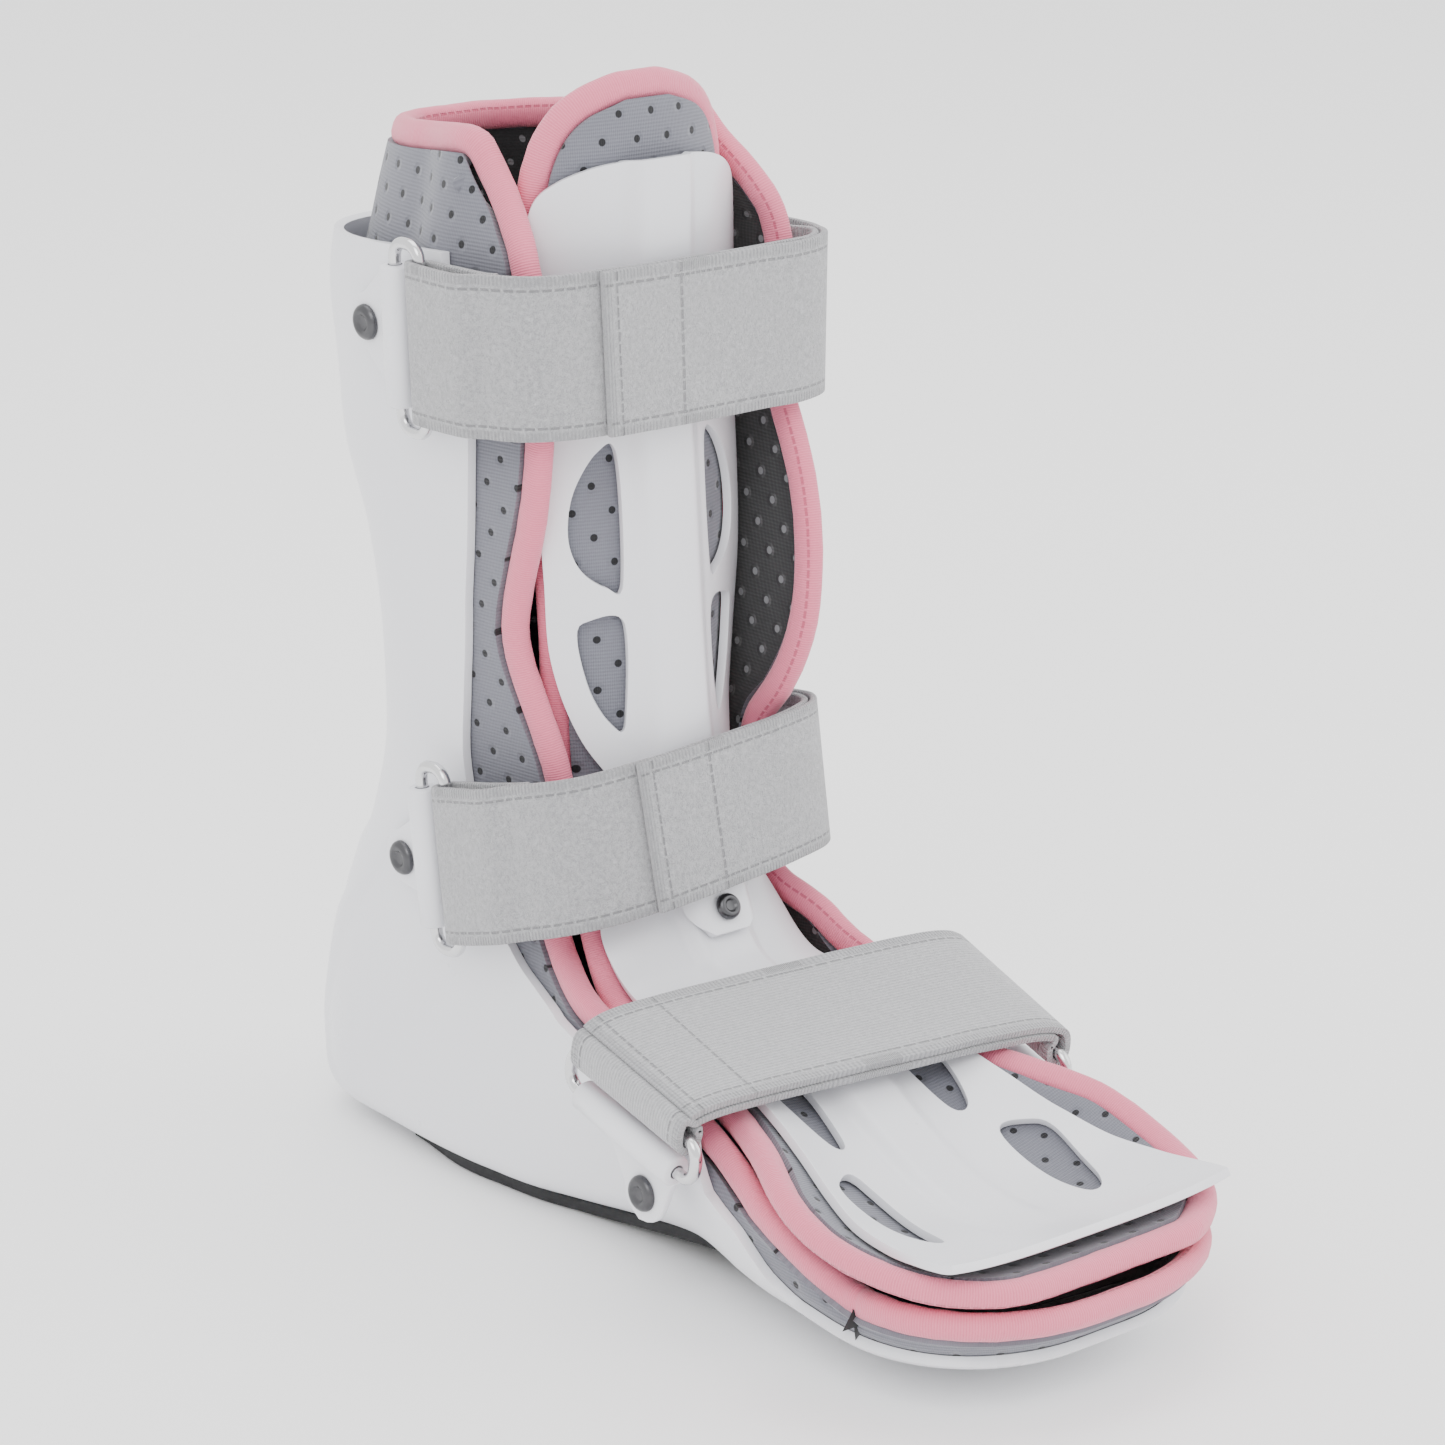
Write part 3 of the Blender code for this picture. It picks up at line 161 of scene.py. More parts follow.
footPlateRows = [
    plateRow(12.2, 0.46, 0.0), plateRow(12.5, 0.58, 0.0), plateRow(13.0, 0.66, 0.0),
    plateRow(14.0, 0.69, 0.4), plateRow(15.0, 0.72, 0.6), plateRow(16.0, 0.75, 0.6),
    plateRow(17.0, 0.80, 0.4), plateRow(18.0, 0.88, 0.0), plateRow(19.0, 0.97, 0.0),
    plateRow(20.0, 1.05, 0.0), plateRow(21.0, 1.11, 0.3), plateRow(22.0, 1.14, 1.2),
    plateRow(22.6, 1.14, 2.4), plateRow(23.0, 1.12, 3.6),
]

spot = namedtuple("spot", "across along")
shinWindows = [
    [spot(0.30, 1.87), spot(0.54, 1.87), spot(0.60, 1.84), spot(0.42, 1.79),
     spot(0.32, 1.80)],
    [spot(0.34, 1.745), spot(0.46, 1.75), spot(0.60, 1.70), spot(0.64, 1.64),
     spot(0.58, 1.595), spot(0.44, 1.57), spot(0.34, 1.575)],
    [spot(0.34, 1.52), spot(0.56, 1.525), spot(0.60, 1.50), spot(0.54, 1.43),
     spot(0.44, 1.385), spot(0.36, 1.385)],
]

footWindows = [
    [spot(0.38, -0.50), spot(0.60, -0.50), spot(0.62, -0.55), spot(0.54, -0.61),
     spot(0.42, -0.60)],
    [spot(0.56, -0.665), spot(0.76, -0.675), spot(0.83, -0.71), spot(0.76, -0.79),
     spot(0.64, -0.825), spot(0.56, -0.80)],
]

trayPoint = namedtuple("trayPoint", "y z")
trayRim = [
    trayPoint(-0.507, 1.20), trayPoint(-0.521, 0.80), trayPoint(-0.543, 0.65), trayPoint(-0.600, 0.54),
    trayPoint(-0.650, 0.385), trayPoint(-0.690, 0.285), trayPoint(-0.790, 0.265), trayPoint(-0.900, 0.255),
    trayPoint(-1.100, 0.245), trayPoint(-1.100, 1.20),
]

strapEnd = namedtuple("strapEnd", "x y z")
strapSize = namedtuple("strapSize", "name near far crown nearCurve farCurve overlay ringTurn")
straps = [
    strapSize("top_strap",
          (strapEnd(-1.27, -0.002, 2.004), strapEnd(-1.21, 0.010, 1.788)),
          (strapEnd(1.25, -0.002, 2.004), strapEnd(1.22, 0.010, 1.788)),
          (strapEnd(0.00, -0.188, 2.004), strapEnd(0.00, -0.192, 1.788)), 4.0, 6.5, 0.42, 0.0),
    strapSize("ankle_strap",
          (strapEnd(-1.13, 0.010, 1.292), strapEnd(-1.09, -0.012, 1.072)),
          (strapEnd(1.15, 0.010, 1.330), strapEnd(1.11, -0.012, 1.120)),
          (strapEnd(0.02, -0.225, 1.361), strapEnd(0.02, -0.271, 1.168)), 3.2, 4.4, 0.41, 0.0),
    strapSize("instep_strap",
          (strapEnd(-1.39, -0.345, 1.030), strapEnd(-1.41, -0.555, 0.925)),
          (strapEnd(1.40, -0.385, 1.025), strapEnd(1.42, -0.582, 0.840)),
          (strapEnd(0.00, -0.372, 1.072), strapEnd(0.00, -0.572, 0.990)), 5.0, 5.0, 0.10, 1.0),
]

bracketSize = namedtuple("bracketSize", "strap rivetAway rivetAlong tabHalf")
brackets = [
    bracketSize("top", 0.0190, 0.000, 0.0190),
    bracketSize("ankle", 0.0170, 0.004, 0.0130),
    bracketSize("instep", 0.0170, 0.008, 0.0150),
]

soleWidths = [0.58, 0.66, 0.63, 0.55, 0.50, 0.47, 0.45, 0.44, 0.42, 0.40, 0.38, 0.34, 0.22]
rimRow, soleFirstRow, soleLastRow = 2, 17, 29

xAxis = Vector((1.0, 0.0, 0.0))
zAxis = Vector((0.0, 0.0, 1.0))
lastRow = len(formRows) - 1
lastPadRow = len(padRows) - 1
ankleRow, ballRow, halfSteps = 8, 24, 7
padBendRow, padFootRow = 12, 18


def lengthwise(share):
    return share * (boot["heelReach"] if share > 0.0 else boot["toeReach"])


def upward(level):
    if level <= 1.0:
        return level * boot["sideHeight"]
    return boot["sideHeight"] + (level - 1.0) * (boot["shellHeight"] - boot["sideHeight"])


def mix(low, high, share):
    return low + (high - low) * share


def clamp(value, low=0.0, high=1.0):
    return max(low, min(high, value))


def smooth(low, high, value):
    share = clamp((value - low) / (high - low))
    return share * share * (3.0 - 2.0 * share)


def widthReference(place, first, last):
    return mix(boot["legHalfWidth"], boot["footHalfWidth"], clamp((place - first) / (last - first)))


def blendRows(rows, place):  # a cubic through the four nearest rows
    last = len(rows) - 1
    place = clamp(place, 0.0, last)
    low = min(int(place), last - 1)
    t = place - low
    a, b, c, d = (rows[min(max(low + k, 0), last)] for k in (-1, 0, 1, 2))
    wa = 0.5 * (-t + 2 * t * t - t ** 3)
    wb = 0.5 * (2 - 5 * t * t + 3 * t ** 3)
    wc = 0.5 * (t + 4 * t * t - 3 * t ** 3)
    wd = 0.5 * (t ** 3 - t * t)
    return [wa * p + wb * q + wc * r + wd * s for p, q, r, s in zip(a, b, c, d)]


formMemory = {}


def formSection(place):
    key = round(place, 5)
    if key not in formMemory:
        row = formRow(*blendRows(formRows, place))
        edge = Vector((0.0, lengthwise(row.edgeY), upward(row.edgeZ)))
        back = Vector((0.0, lengthwise(row.backY), upward(row.backZ)))
        halfWidth = row.halfWidth * widthReference(place, ankleRow, ballRow)
        baseWidth = halfWidth * row.base
        depth = (back - edge).length
        corner = (baseWidth * row.cornerX, depth * row.cornerD)
        formMemory[key] = (edge, back, depth, halfWidth, baseWidth, *corner)
    return formMemory[key]


def formPoint(place, column):  # column runs from -1, the near edge, to 1, the far edge
    edge, back, depth, halfWidth, baseWidth, cornerX, cornerD = formSection(place)
    step = abs(column) * halfSteps
    if step <= 1.0:
        across = step * (baseWidth - cornerX)
        deep = depth
    elif step <= 5.0:
        angle = (step - 1.0) / 4.0 * math.pi / 2
        across = baseWidth - cornerX * (1.0 - math.sin(angle))
        deep = depth - cornerD * (1.0 - math.cos(angle))
    else:
        across = baseWidth
        deep = (depth - cornerD) * (halfSteps - step) / 2.0
    share = deep / depth
    point = edge.lerp(back, share)
    point.x = math.copysign(across * mix(halfWidth / baseWidth, 1.0, share), column)
    return point


def formNormal(place, column):
    place = clamp(place, 0.02, lastRow - 0.02)
    column = clamp(column, -0.995, 0.995)
    along = formPoint(place + 0.02, column) - formPoint(place - 0.02, column)
    across = formPoint(place, column + 0.005) - formPoint(place, column - 0.005)
    normal = along.cross(across).normalized()
    if normal.dot(formPoint(place, column) - formSection(place)[0]) < 0.0:
        normal.negate()
    return normal


def rimUp(place):
    if place >= ballRow:
        return zAxis
    edge, back = formSection(place)[:2]
    return (edge - back).normalized()


def wallPoint(place, column, inset, reach):  # columns past 1 and places past the last row pass the edge
    row = clamp(place, 0.0, lastRow)
    share = clamp(column, -1.0, 1.0)
    part = max(abs(column) - 1.0, place - lastRow, 0.0)
    normal = formNormal(row, share)
    point = formPoint(row, share) - normal * inset
    if part > 0.0:
        length, lean, drop = reach(row, share)
        point += rimUp(row) * length * part + normal * lean * part - zAxis * drop * part * part
    return point


def shellReach(row, share):
    data = edgeRow(*blendRows(edgeRows, row))
    return data.lip * boot["footHalfWidth"], data.lipLean * boot["footHalfWidth"], 0.0


def linerReach(row, share):
    data = edgeRow(*blendRows(edgeRows, row))
    length = mix(data.near, data.far, (share + 1.0) / 2.0)
    lean = mix(data.nearLean, data.farLean, (share + 1.0) / 2.0)
    return length * boot["footHalfWidth"], lean * boot["footHalfWidth"], data.drop * boot["footHalfWidth"]


def padReference(place):
    return widthReference(place, padBendRow, padFootRow)


def padMiddle(place):
    row = padRow(*blendRows(padRows, place))
    return Vector((0.0, lengthwise(row.midY), upward(row.midZ)))


def padFront(place):
    place = clamp(place, 0.05, lastPadRow - 0.05)
    along = padMiddle(place + 0.05) - padMiddle(place - 0.05)
    return Vector((0.0, along.z, -along.y)).normalized()


def padPoint(place, across):
    row = padRow(*blendRows(padRows, place))
    curve = (abs(across) / (row.span * padReference(place))) ** row.curve
    return padMiddle(place) - padFront(place) * row.fall * boot["legHalfWidth"] * curve + xAxis * across


def padAt(place, across, lift=0.0):
    inner = clamp(place, 0.05, lastPadRow - 0.05)
    along = padPoint(inner + 0.05, across) - padPoint(inner - 0.05, across)
    sideways = padPoint(inner, across + 0.0005) - padPoint(inner, across - 0.0005)
    normal = along.cross(sideways).normalized()
    if normal.dot(padFront(place)) < 0.0:
        normal.negate()
    return padPoint(place, across) + normal * lift


# finishes
def calc(tree, operation, first, second=None, third=None):
    node = tree.nodes.new("ShaderNodeMath")
    node.operation = operation
    for socket, value in zip(node.inputs, (first, second, third)):
        if value is None:
            continue
        if isinstance(value, (int, float)):
            socket.default_value = value
        else:
            tree.links.new(value, socket)
    return node.outputs[0]


def ramp(tree, value, low, high):  # 0 below low, 1 above high, either way round
    node = tree.nodes.new("ShaderNodeMapRange")
    node.interpolation_type = "SMOOTHSTEP"
    node.inputs["From Min"].default_value = low
    node.inputs["From Max"].default_value = high
    tree.links.new(value, node.inputs["Value"])
    return node.outputs["Result"]


def blend(tree, share, low, high):
    node = tree.nodes.new("ShaderNodeMix")
    node.data_type = "RGBA"
    for socket, value in ((node.inputs[0], share), (node.inputs[6], low), (node.inputs[7], high)):
        if isinstance(value, (tuple, list)):
            socket.default_value = (*value, 1.0)
        elif isinstance(value, (int, float)):
            socket.default_value = value
        else:
            tree.links.new(value, socket)
    return node.outputs[2]


def newGroup(name, inputs, outputs):
    group = bpy.data.node_groups.new(name, "ShaderNodeTree")
    for label, kind, value in inputs:
        socket = group.interface.new_socket(label, in_out="INPUT", socket_type=kind)
        if value is not None:
            socket.default_value = value
    for label in outputs:
        group.interface.new_socket(label, in_out="OUTPUT", socket_type="NodeSocketFloat")
    return group, group.nodes.new("NodeGroupInput"), group.nodes.new("NodeGroupOutput")


def makeGrain():  # fine uneven speckle
    group, source, result = newGroup("grainField", [("Vector", "NodeSocketVector", None),
                                                    ("Scale", "NodeSocketFloat", 300.0)], ["Coarse", "Fine"])
    for label, factor, detail in (("Coarse", 1.0, 2.0), ("Fine", 5.0, 3.0)):
        texture = group.nodes.new("ShaderNodeTexNoise")
        texture.inputs["Detail"].default_value = detail
        group.links.new(source.outputs["Vector"], texture.inputs["Vector"])
        group.links.new(calc(group, "MULTIPLY", source.outputs["Scale"], factor), texture.inputs["Scale"])
        group.links.new(texture.outputs[0], result.inputs[label])
    return group


def makeRibs():  # knitted or woven ribs across the first or second direction of a metric UV map
    inputs = [("Vector", "NodeSocketVector", None), ("Pitch", "NodeSocketFloat", 0.001),
              ("Cross Pitch", "NodeSocketFloat", 0.0008)]
    group, source, result = newGroup("ribField", inputs, ["Rib", "Cross"])
    split = group.nodes.new("ShaderNodeSeparateXYZ")
    group.links.new(source.outputs["Vector"], split.inputs[0])
    for label, pitch, axis in (("Rib", "Pitch", 1), ("Cross", "Cross Pitch", 0)):
        turns = calc(group, "DIVIDE", split.outputs[axis], source.outputs[pitch])
        wave = calc(group, "SINE", calc(group, "MULTIPLY", turns, math.tau))
        group.links.new(calc(group, "MULTIPLY_ADD", wave, 0.5, 0.5), result.inputs[label])
    return group


def makeHoles():  # staggered round holes on a metric UV map
    group, source, result = newGroup("holeField", [("Vector", "NodeSocketVector", None),
                                                   ("Pitch", "NodeSocketFloat", 0.0125),
                                                   ("Radius", "NodeSocketFloat", 0.0011)], ["Hole", "Rim"])
    split = group.nodes.new("ShaderNodeSeparateXYZ")
    group.links.new(source.outputs["Vector"], split.inputs[0])
    across = calc(group, "DIVIDE", split.outputs[0], source.outputs["Pitch"])
    along = calc(group, "DIVIDE", split.outputs[1], calc(group, "MULTIPLY", source.outputs["Pitch"], 0.62))
    line = calc(group, "FLOOR", along)
    shift = calc(group, "MULTIPLY", calc(group, "FLOORED_MODULO", line, 2.0), 0.5)
    a = calc(group, "SUBTRACT", calc(group, "FRACT", calc(group, "ADD", across, shift)), 0.5)
    b = calc(group, "MULTIPLY", calc(group, "SUBTRACT", calc(group, "FRACT", along), 0.5), 0.62)
    squares = calc(group, "ADD", calc(group, "MULTIPLY", a, a), calc(group, "MULTIPLY", b, b))
    far = calc(group, "SQRT", squares)
    distance = calc(group, "DIVIDE", calc(group, "MULTIPLY", far, source.outputs["Pitch"]),
                    source.outputs["Radius"])
    group.links.new(ramp(group, distance, 1.08, 0.85), result.inputs["Hole"])
    group.links.new(ramp(group, distance, 2.1, 0.9), result.inputs["Rim"])
    return group


def makeStitch():  # one dashed row of stitches
    inputs = [("Along", "NodeSocketFloat", 0.0), ("Across", "NodeSocketFloat", 0.0),
              ("Length", "NodeSocketFloat", 0.0035), ("Width", "NodeSocketFloat", 0.0004)]
    group, source, result = newGroup("stitchRow", inputs, ["Stitch"])
    part = calc(group, "FRACT", calc(group, "DIVIDE", source.outputs["Along"], source.outputs["Length"]))
    dash = ramp(group, calc(group, "ABSOLUTE", calc(group, "SUBTRACT", part, 0.5)), 0.42, 0.34)
    away = calc(group, "DIVIDE", calc(group, "ABSOLUTE", source.outputs["Across"]), source.outputs["Width"])
    group.links.new(calc(group, "MULTIPLY", dash, ramp(group, away, 1.2, 0.6)), result.inputs["Stitch"])
    return group


grainField, ribField, holeField, stitchRow = makeGrain(), makeRibs(), makeHoles(), makeStitch()


def newFinish(name, roughness, metallic=0.0, **sockets):
    material = bpy.data.materials.new(name)
    material.use_nodes = True
    shader = material.node_tree.nodes["Principled BSDF"]
    shader.inputs["Roughness"].default_value = roughness
    shader.inputs["Metallic"].default_value = metallic
    for label, value in sockets.items():
        shader.inputs[label.replace("_", " ")].default_value = value
    return material, material.node_tree, shader


def place(tree, kind):
    node = tree.nodes.new("ShaderNodeTexCoord" if kind == "Object" else "ShaderNodeUVMap")
    return node.outputs["Object"] if kind == "Object" else node.outputs[0]


def useGroup(tree, group, vector=None, **values):
    node = tree.nodes.new("ShaderNodeGroup")
    node.node_tree = group
    if vector is not None:
        tree.links.new(vector, node.inputs["Vector"])
    for label, value in values.items():
        socket = node.inputs[label.replace("_", " ")]
        if isinstance(value, (int, float)):
            socket.default_value = value
        else:
            tree.links.new(value, socket)
    return node.outputs


def bump(tree, shader, height, distance, strength=1.0):
    node = tree.nodes.new("ShaderNodeBump")
    node.inputs["Distance"].default_value = distance
    node.inputs["Strength"].default_value = strength
    tree.links.new(height, node.inputs["Height"])
    tree.links.new(node.outputs["Normal"], shader.inputs["Normal"])


plasticLook = {"color": (0.80, 0.80, 0.835), "shade": (0.765, 0.77, 0.81), "roughness": 0.30, "scale": 9.0}
# the near-black hole colour is painted shade: the perforations are real holes, and their dark fill stands in
# for the shade inside each hole
fabricLook = {"color": (0.125, 0.128, 0.155), "shade": (0.195, 0.198, 0.232), "hole": (0.008, 0.008, 0.01),
              "rib": 0.0011, "pitch": 0.0128, "radius": 0.00125}
liningLook = {"color": (0.008, 0.008, 0.009), "shade": (0.018, 0.018, 0.02), "dot": (0.16, 0.16, 0.17)}
bindingLook = {"color": (0.70, 0.135, 0.225), "shade": (0.84, 0.235, 0.33), "thread": (0.50, 0.075, 0.14),
               "rib": 0.00075, "crossRib": 0.0019, "seam": 0.0092, "stitch": 0.0031, "stitchWidth": 0.00045}
feltLook = {"color": (0.27, 0.27, 0.285), "light": (0.47, 0.47, 0.485), "thread": (0.15, 0.15, 0.16),
            "halfWidth": 0.025, "rib": 0.00115, "crossRib": 0.0012, "edgeSeam": 0.0042, "endSeam": 0.0045,
            "innerSeam": 0.0235, "stitch": 0.0036, "stitchWidth": 0.0004}
rubberLook = {"color": (0.012, 0.012, 0.013), "light": (0.028, 0.028, 0.03)}


def plasticFinish():
    material, tree, shader = newFinish("mouldedWhite", plasticLook["roughness"], Coat_Weight=0.15,
                                       Coat_Roughness=0.12)
    grain = useGroup(tree, grainField, place(tree, "Object"), Scale=plasticLook["scale"])
    tree.links.new(blend(tree, grain["Coarse"], plasticLook["shade"], plasticLook["color"]),
                   shader.inputs["Base Color"])
    tree.links.new(calc(tree, "MULTIPLY_ADD", grain["Fine"], 0.14, plasticLook["roughness"] - 0.07),
                   shader.inputs["Roughness"])
    fine = useGroup(tree, grainField, place(tree, "Object"), Scale=700.0)
    bump(tree, shader, fine["Coarse"], 0.00002, 0.5)
    return material


def fabricFinish(name, color, shade, hole):
    material, tree, shader = newFinish(name, 0.92, Sheen_Weight=0.25, Sheen_Roughness=0.5)
    cloth = place(tree, "UV")
    ribs = useGroup(tree, ribField, cloth, Pitch=fabricLook["rib"], Cross_Pitch=fabricLook["rib"] * 0.62)
    holes = useGroup(tree, holeField, cloth, Pitch=fabricLook["pitch"], Radius=fabricLook["radius"])
    grain = useGroup(tree, grainField, place(tree, "Object"), Scale=260.0)
    knit = calc(tree, "MULTIPLY_ADD", ribs["Cross"], 0.35, calc(tree, "MULTIPLY", ribs["Rib"], 0.65))
    tone = calc(tree, "MULTIPLY_ADD", knit, 0.62, calc(tree, "MULTIPLY", grain["Fine"], 0.38))
    surface = blend(tree, tone, color, shade)
    # the hole colour fills each perforation: on the grey knit it is near-black painted shade inside the
    # holes, on the lining a lighter dot
    tree.links.new(blend(tree, holes["Hole"], surface, hole), shader.inputs["Base Color"])
    woven = calc(tree, "MULTIPLY_ADD", grain["Coarse"], 0.2, calc(tree, "MULTIPLY", knit, 0.35))
    height = calc(tree, "SUBTRACT", woven, holes["Rim"])
    bump(tree, shader, height, 0.0005, 0.8)
    return material


def bindingFinish():
    material, tree, shader = newFinish("pinkTape", 0.80, Sheen_Weight=0.35, Sheen_Roughness=0.4)
    tape = place(tree, "UV")
    ribs = useGroup(tree, ribField, tape, Pitch=bindingLook["crossRib"], Cross_Pitch=bindingLook["rib"])
    grain = useGroup(tree, grainField, place(tree, "Object"), Scale=420.0)
    split = tree.nodes.new("ShaderNodeSeparateXYZ")
    tree.links.new(tape, split.inputs[0])
    stitch = useGroup(tree, stitchRow, None, Along=split.outputs[0],
                      Across=calc(tree, "SUBTRACT", split.outputs[1], bindingLook["seam"]),
                      Length=bindingLook["stitch"], Width=bindingLook["stitchWidth"])
    tone = calc(tree, "MULTIPLY_ADD", ribs["Cross"], 0.55, calc(tree, "MULTIPLY", grain["Fine"], 0.45))
    surface = blend(tree, tone, bindingLook["color"], bindingLook["shade"])
    tree.links.new(blend(tree, calc(tree, "MULTIPLY", stitch["Stitch"], 0.8), surface, bindingLook["thread"]),
                   shader.inputs["Base Color"])
    woven = calc(tree, "MULTIPLY_ADD", ribs["Cross"], 0.5, grain["Coarse"])
    height = calc(tree, "SUBTRACT", woven, stitch["Stitch"])
    bump(tree, shader, height, 0.00032, 0.8)
    return material


def feltFinish(name, ribbed):
    material, tree, shader = newFinish(name, 0.97, Sheen_Weight=0.5, Sheen_Roughness=0.6)
    band = place(tree, "UV")
    split = tree.nodes.new("ShaderNodeSeparateXYZ")
    tree.links.new(band, split.inputs[0])
    fromMiddle = calc(tree, "ABSOLUTE", calc(tree, "SUBTRACT", split.outputs[1], feltLook["halfWidth"]))
    fromEdge = calc(tree, "SUBTRACT", feltLook["halfWidth"], fromMiddle)
    edge = ramp(tree, fromEdge, 0.0034, 0.0024)
    end = ramp(tree, split.outputs[0], 0.0032, 0.0022)
    grain = useGroup(tree, grainField, place(tree, "Object"), Scale=150.0)
    fuzz = useGroup(tree, grainField, place(tree, "Object"), Scale=520.0)
    ribs = useGroup(tree, ribField, band, Pitch=feltLook["rib"], Cross_Pitch=feltLook["crossRib"])
    seams = []
    for along, across, seam in ((0, fromEdge, "edgeSeam"), (1, split.outputs[0], "endSeam"),
                                (1, split.outputs[0], "innerSeam")):
        row = useGroup(tree, stitchRow, None, Along=split.outputs[along],
                       Across=calc(tree, "SUBTRACT", across, feltLook[seam]),
                       Length=feltLook["stitch"], Width=feltLook["stitchWidth"])
        seams.append(row["Stitch"])
    sewn = calc(tree, "MAXIMUM", seams[0], calc(tree, "MAXIMUM", seams[1], seams[2]))
    tone = calc(tree, "MULTIPLY_ADD", fuzz["Fine"], 0.55, calc(tree, "MULTIPLY", grain["Fine"], 0.45))
    tone = ramp(tree, tone, 0.30, 0.70)
    if ribbed:
        tone = calc(tree, "MULTIPLY_ADD", ribs["Rib"], 0.45, calc(tree, "MULTIPLY", tone, 0.55))
    surface = blend(tree, tone, feltLook["color"], feltLook["light"])
    border = calc(tree, "MAXIMUM", edge, end)
    overlock = calc(tree, "MULTIPLY", border, calc(tree, "MULTIPLY_ADD", ribs["Cross"], 0.5, 0.25))
    surface = blend(tree, overlock, surface, feltLook["color"])
    tree.links.new(blend(tree, calc(tree, "MULTIPLY", sewn, 0.75), surface, feltLook["thread"]),
                   shader.inputs["Base Color"])
    rough = calc(tree, "MULTIPLY_ADD", border, calc(tree, "MULTIPLY", ribs["Cross"], 0.8),
                 calc(tree, "MULTIPLY", tone, 0.7))
    bump(tree, shader, calc(tree, "SUBTRACT", rough, sewn), 0.0006, 0.9)
    return material


def metalFinish(name, color, roughness):
    material, tree, shader = newFinish(name, roughness, 1.0)
    grain = useGroup(tree, grainField, place(tree, "Object"), Scale=120.0)
    low = tuple(channel * 0.86 for channel in color)
    tree.links.new(blend(tree, grain["Coarse"], low, color), shader.inputs["Base Color"])
    tree.links.new(calc(tree, "MULTIPLY_ADD", grain["Fine"], 0.12, roughness - 0.05),
                   shader.inputs["Roughness"])
    return material


def rubberFinish():
    material, tree, shader = newFinish("blackRubber", 0.75)
    grain = useGroup(tree, grainField, place(tree, "Object"), Scale=420.0)
    tree.links.new(blend(tree, grain["Coarse"], rubberLook["color"], rubberLook["light"]),
                   shader.inputs["Base Color"])
    bump(tree, shader, grain["Coarse"], 0.0002, 0.7)
    return material


white = plasticFinish()
# grey knit perforations filled with near-black painted shade
greyKnit = fabricFinish("greyKnit", fabricLook["color"], fabricLook["shade"], fabricLook["hole"])
blackLining = fabricFinish("blackLining", liningLook["color"], liningLook["shade"], liningLook["dot"])
pink = bindingFinish()
felt, ribbedFelt = feltFinish("loopFelt", False), feltFinish("ribbedFelt", True)
chrome = metalFinish("polishedWire", (0.72, 0.72, 0.73), 0.16)
gunmetal = metalFinish("gunmetal", (0.10, 0.10, 0.105), 0.30)
rubber = rubberFinish()
print("finishes ready")


# meshes
def gridSheet(columns, places, position, clothSpot=None, outside=None):
    mesh = bmesh.new()
    uvLayer = mesh.loops.layers.uv.new("cloth")
    bmesh.ops.create_grid(mesh, x_segments=len(columns) - 1, y_segments=len(places) - 1, size=0.5)
    spots = {}
    for vert in mesh.verts:
        i = round((vert.co.x + 0.5) * (len(columns) - 1))
        j = round((vert.co.y + 0.5) * (len(places) - 1))
        spots[vert] = (places[j], columns[i])
    if outside:
        trimSheet(mesh, spots, outside)
    if clothSpot:
        flat = {vert: clothSpot(*spots[vert]) for vert in mesh.verts}
        for face in mesh.faces:
            for loop in face.loops:
                loop[uvLayer].uv = flat[loop.vert]
    for vert in mesh.verts:
        vert.co = position(*spots[vert])
    bmesh.ops.remove_doubles(mesh, verts=mesh.verts, dist=1e-6)
    return mesh


trimSet = {"passes": 6, "rowStep": 0.004, "columnStep": 0.001, "columnWeight": 36.0, "rowReach": 0.3,
           "columnReach": 0.05}


def trimSheet(mesh, spots, outside):  # drops what outside() calls positive, then draws the cut edge to zero
    rowStep, columnStep, weight = trimSet["rowStep"], trimSet["columnStep"], trimSet["columnWeight"]
    gone = [face for face in mesh.faces
            if outside(*(sum(spots[v][k] for v in face.verts) / len(face.verts) for k in (0, 1))) > 0.0]
    border = {vert for face in gone for vert in face.verts}
    bmesh.ops.delete(mesh, geom=gone, context="FACES")
    for vert in mesh.verts:
        if vert not in border:
            continue
        row, column = spots[vert]
        for _ in range(trimSet["passes"]):
            value = outside(row, column)
            slopeRow = (outside(row + rowStep, column) - outside(row - rowStep, column)) / (2 * rowStep)
            slopeColumn = outside(row, column + columnStep) - outside(row, column - columnStep)
            slopeColumn /= 2 * columnStep
            total = slopeRow ** 2 + slopeColumn ** 2 / weight  # one column is longer than one row
            if total < 1e-12:
                break
            row -= clamp(value * slopeRow / total, -trimSet["rowReach"], trimSet["rowReach"])
            columnMove = value * slopeColumn / total / weight
            column -= clamp(columnMove, -trimSet["columnReach"], trimSet["columnReach"])
        spots[vert] = (row, column)


def sweep(points, frames, section):  # a closed path; frames give two directions, section two offsets
    count = len(points)
    rows = count + 1
    travelled = [0.0]
    for index in range(1, rows):
        travelled.append(travelled[-1] + (points[index % count] - points[index - 1]).length)
    girth = [0.0]
    for index in range(1, len(section) + 1):
        a, b = section[index % len(section)], section[index - 1]
        girth.append(girth[-1] + math.hypot(a[0] - b[0], a[1] - b[1]))

    def position(row, column):
        first, second = frames[row % count]
        a, b = section[column % len(section)]
        return points[row % count] + first * a + second * b

    return gridSheet(list(range(len(section) + 1)), list(range(rows)), position,
                     lambda row, column: (travelled[row], girth[column]))


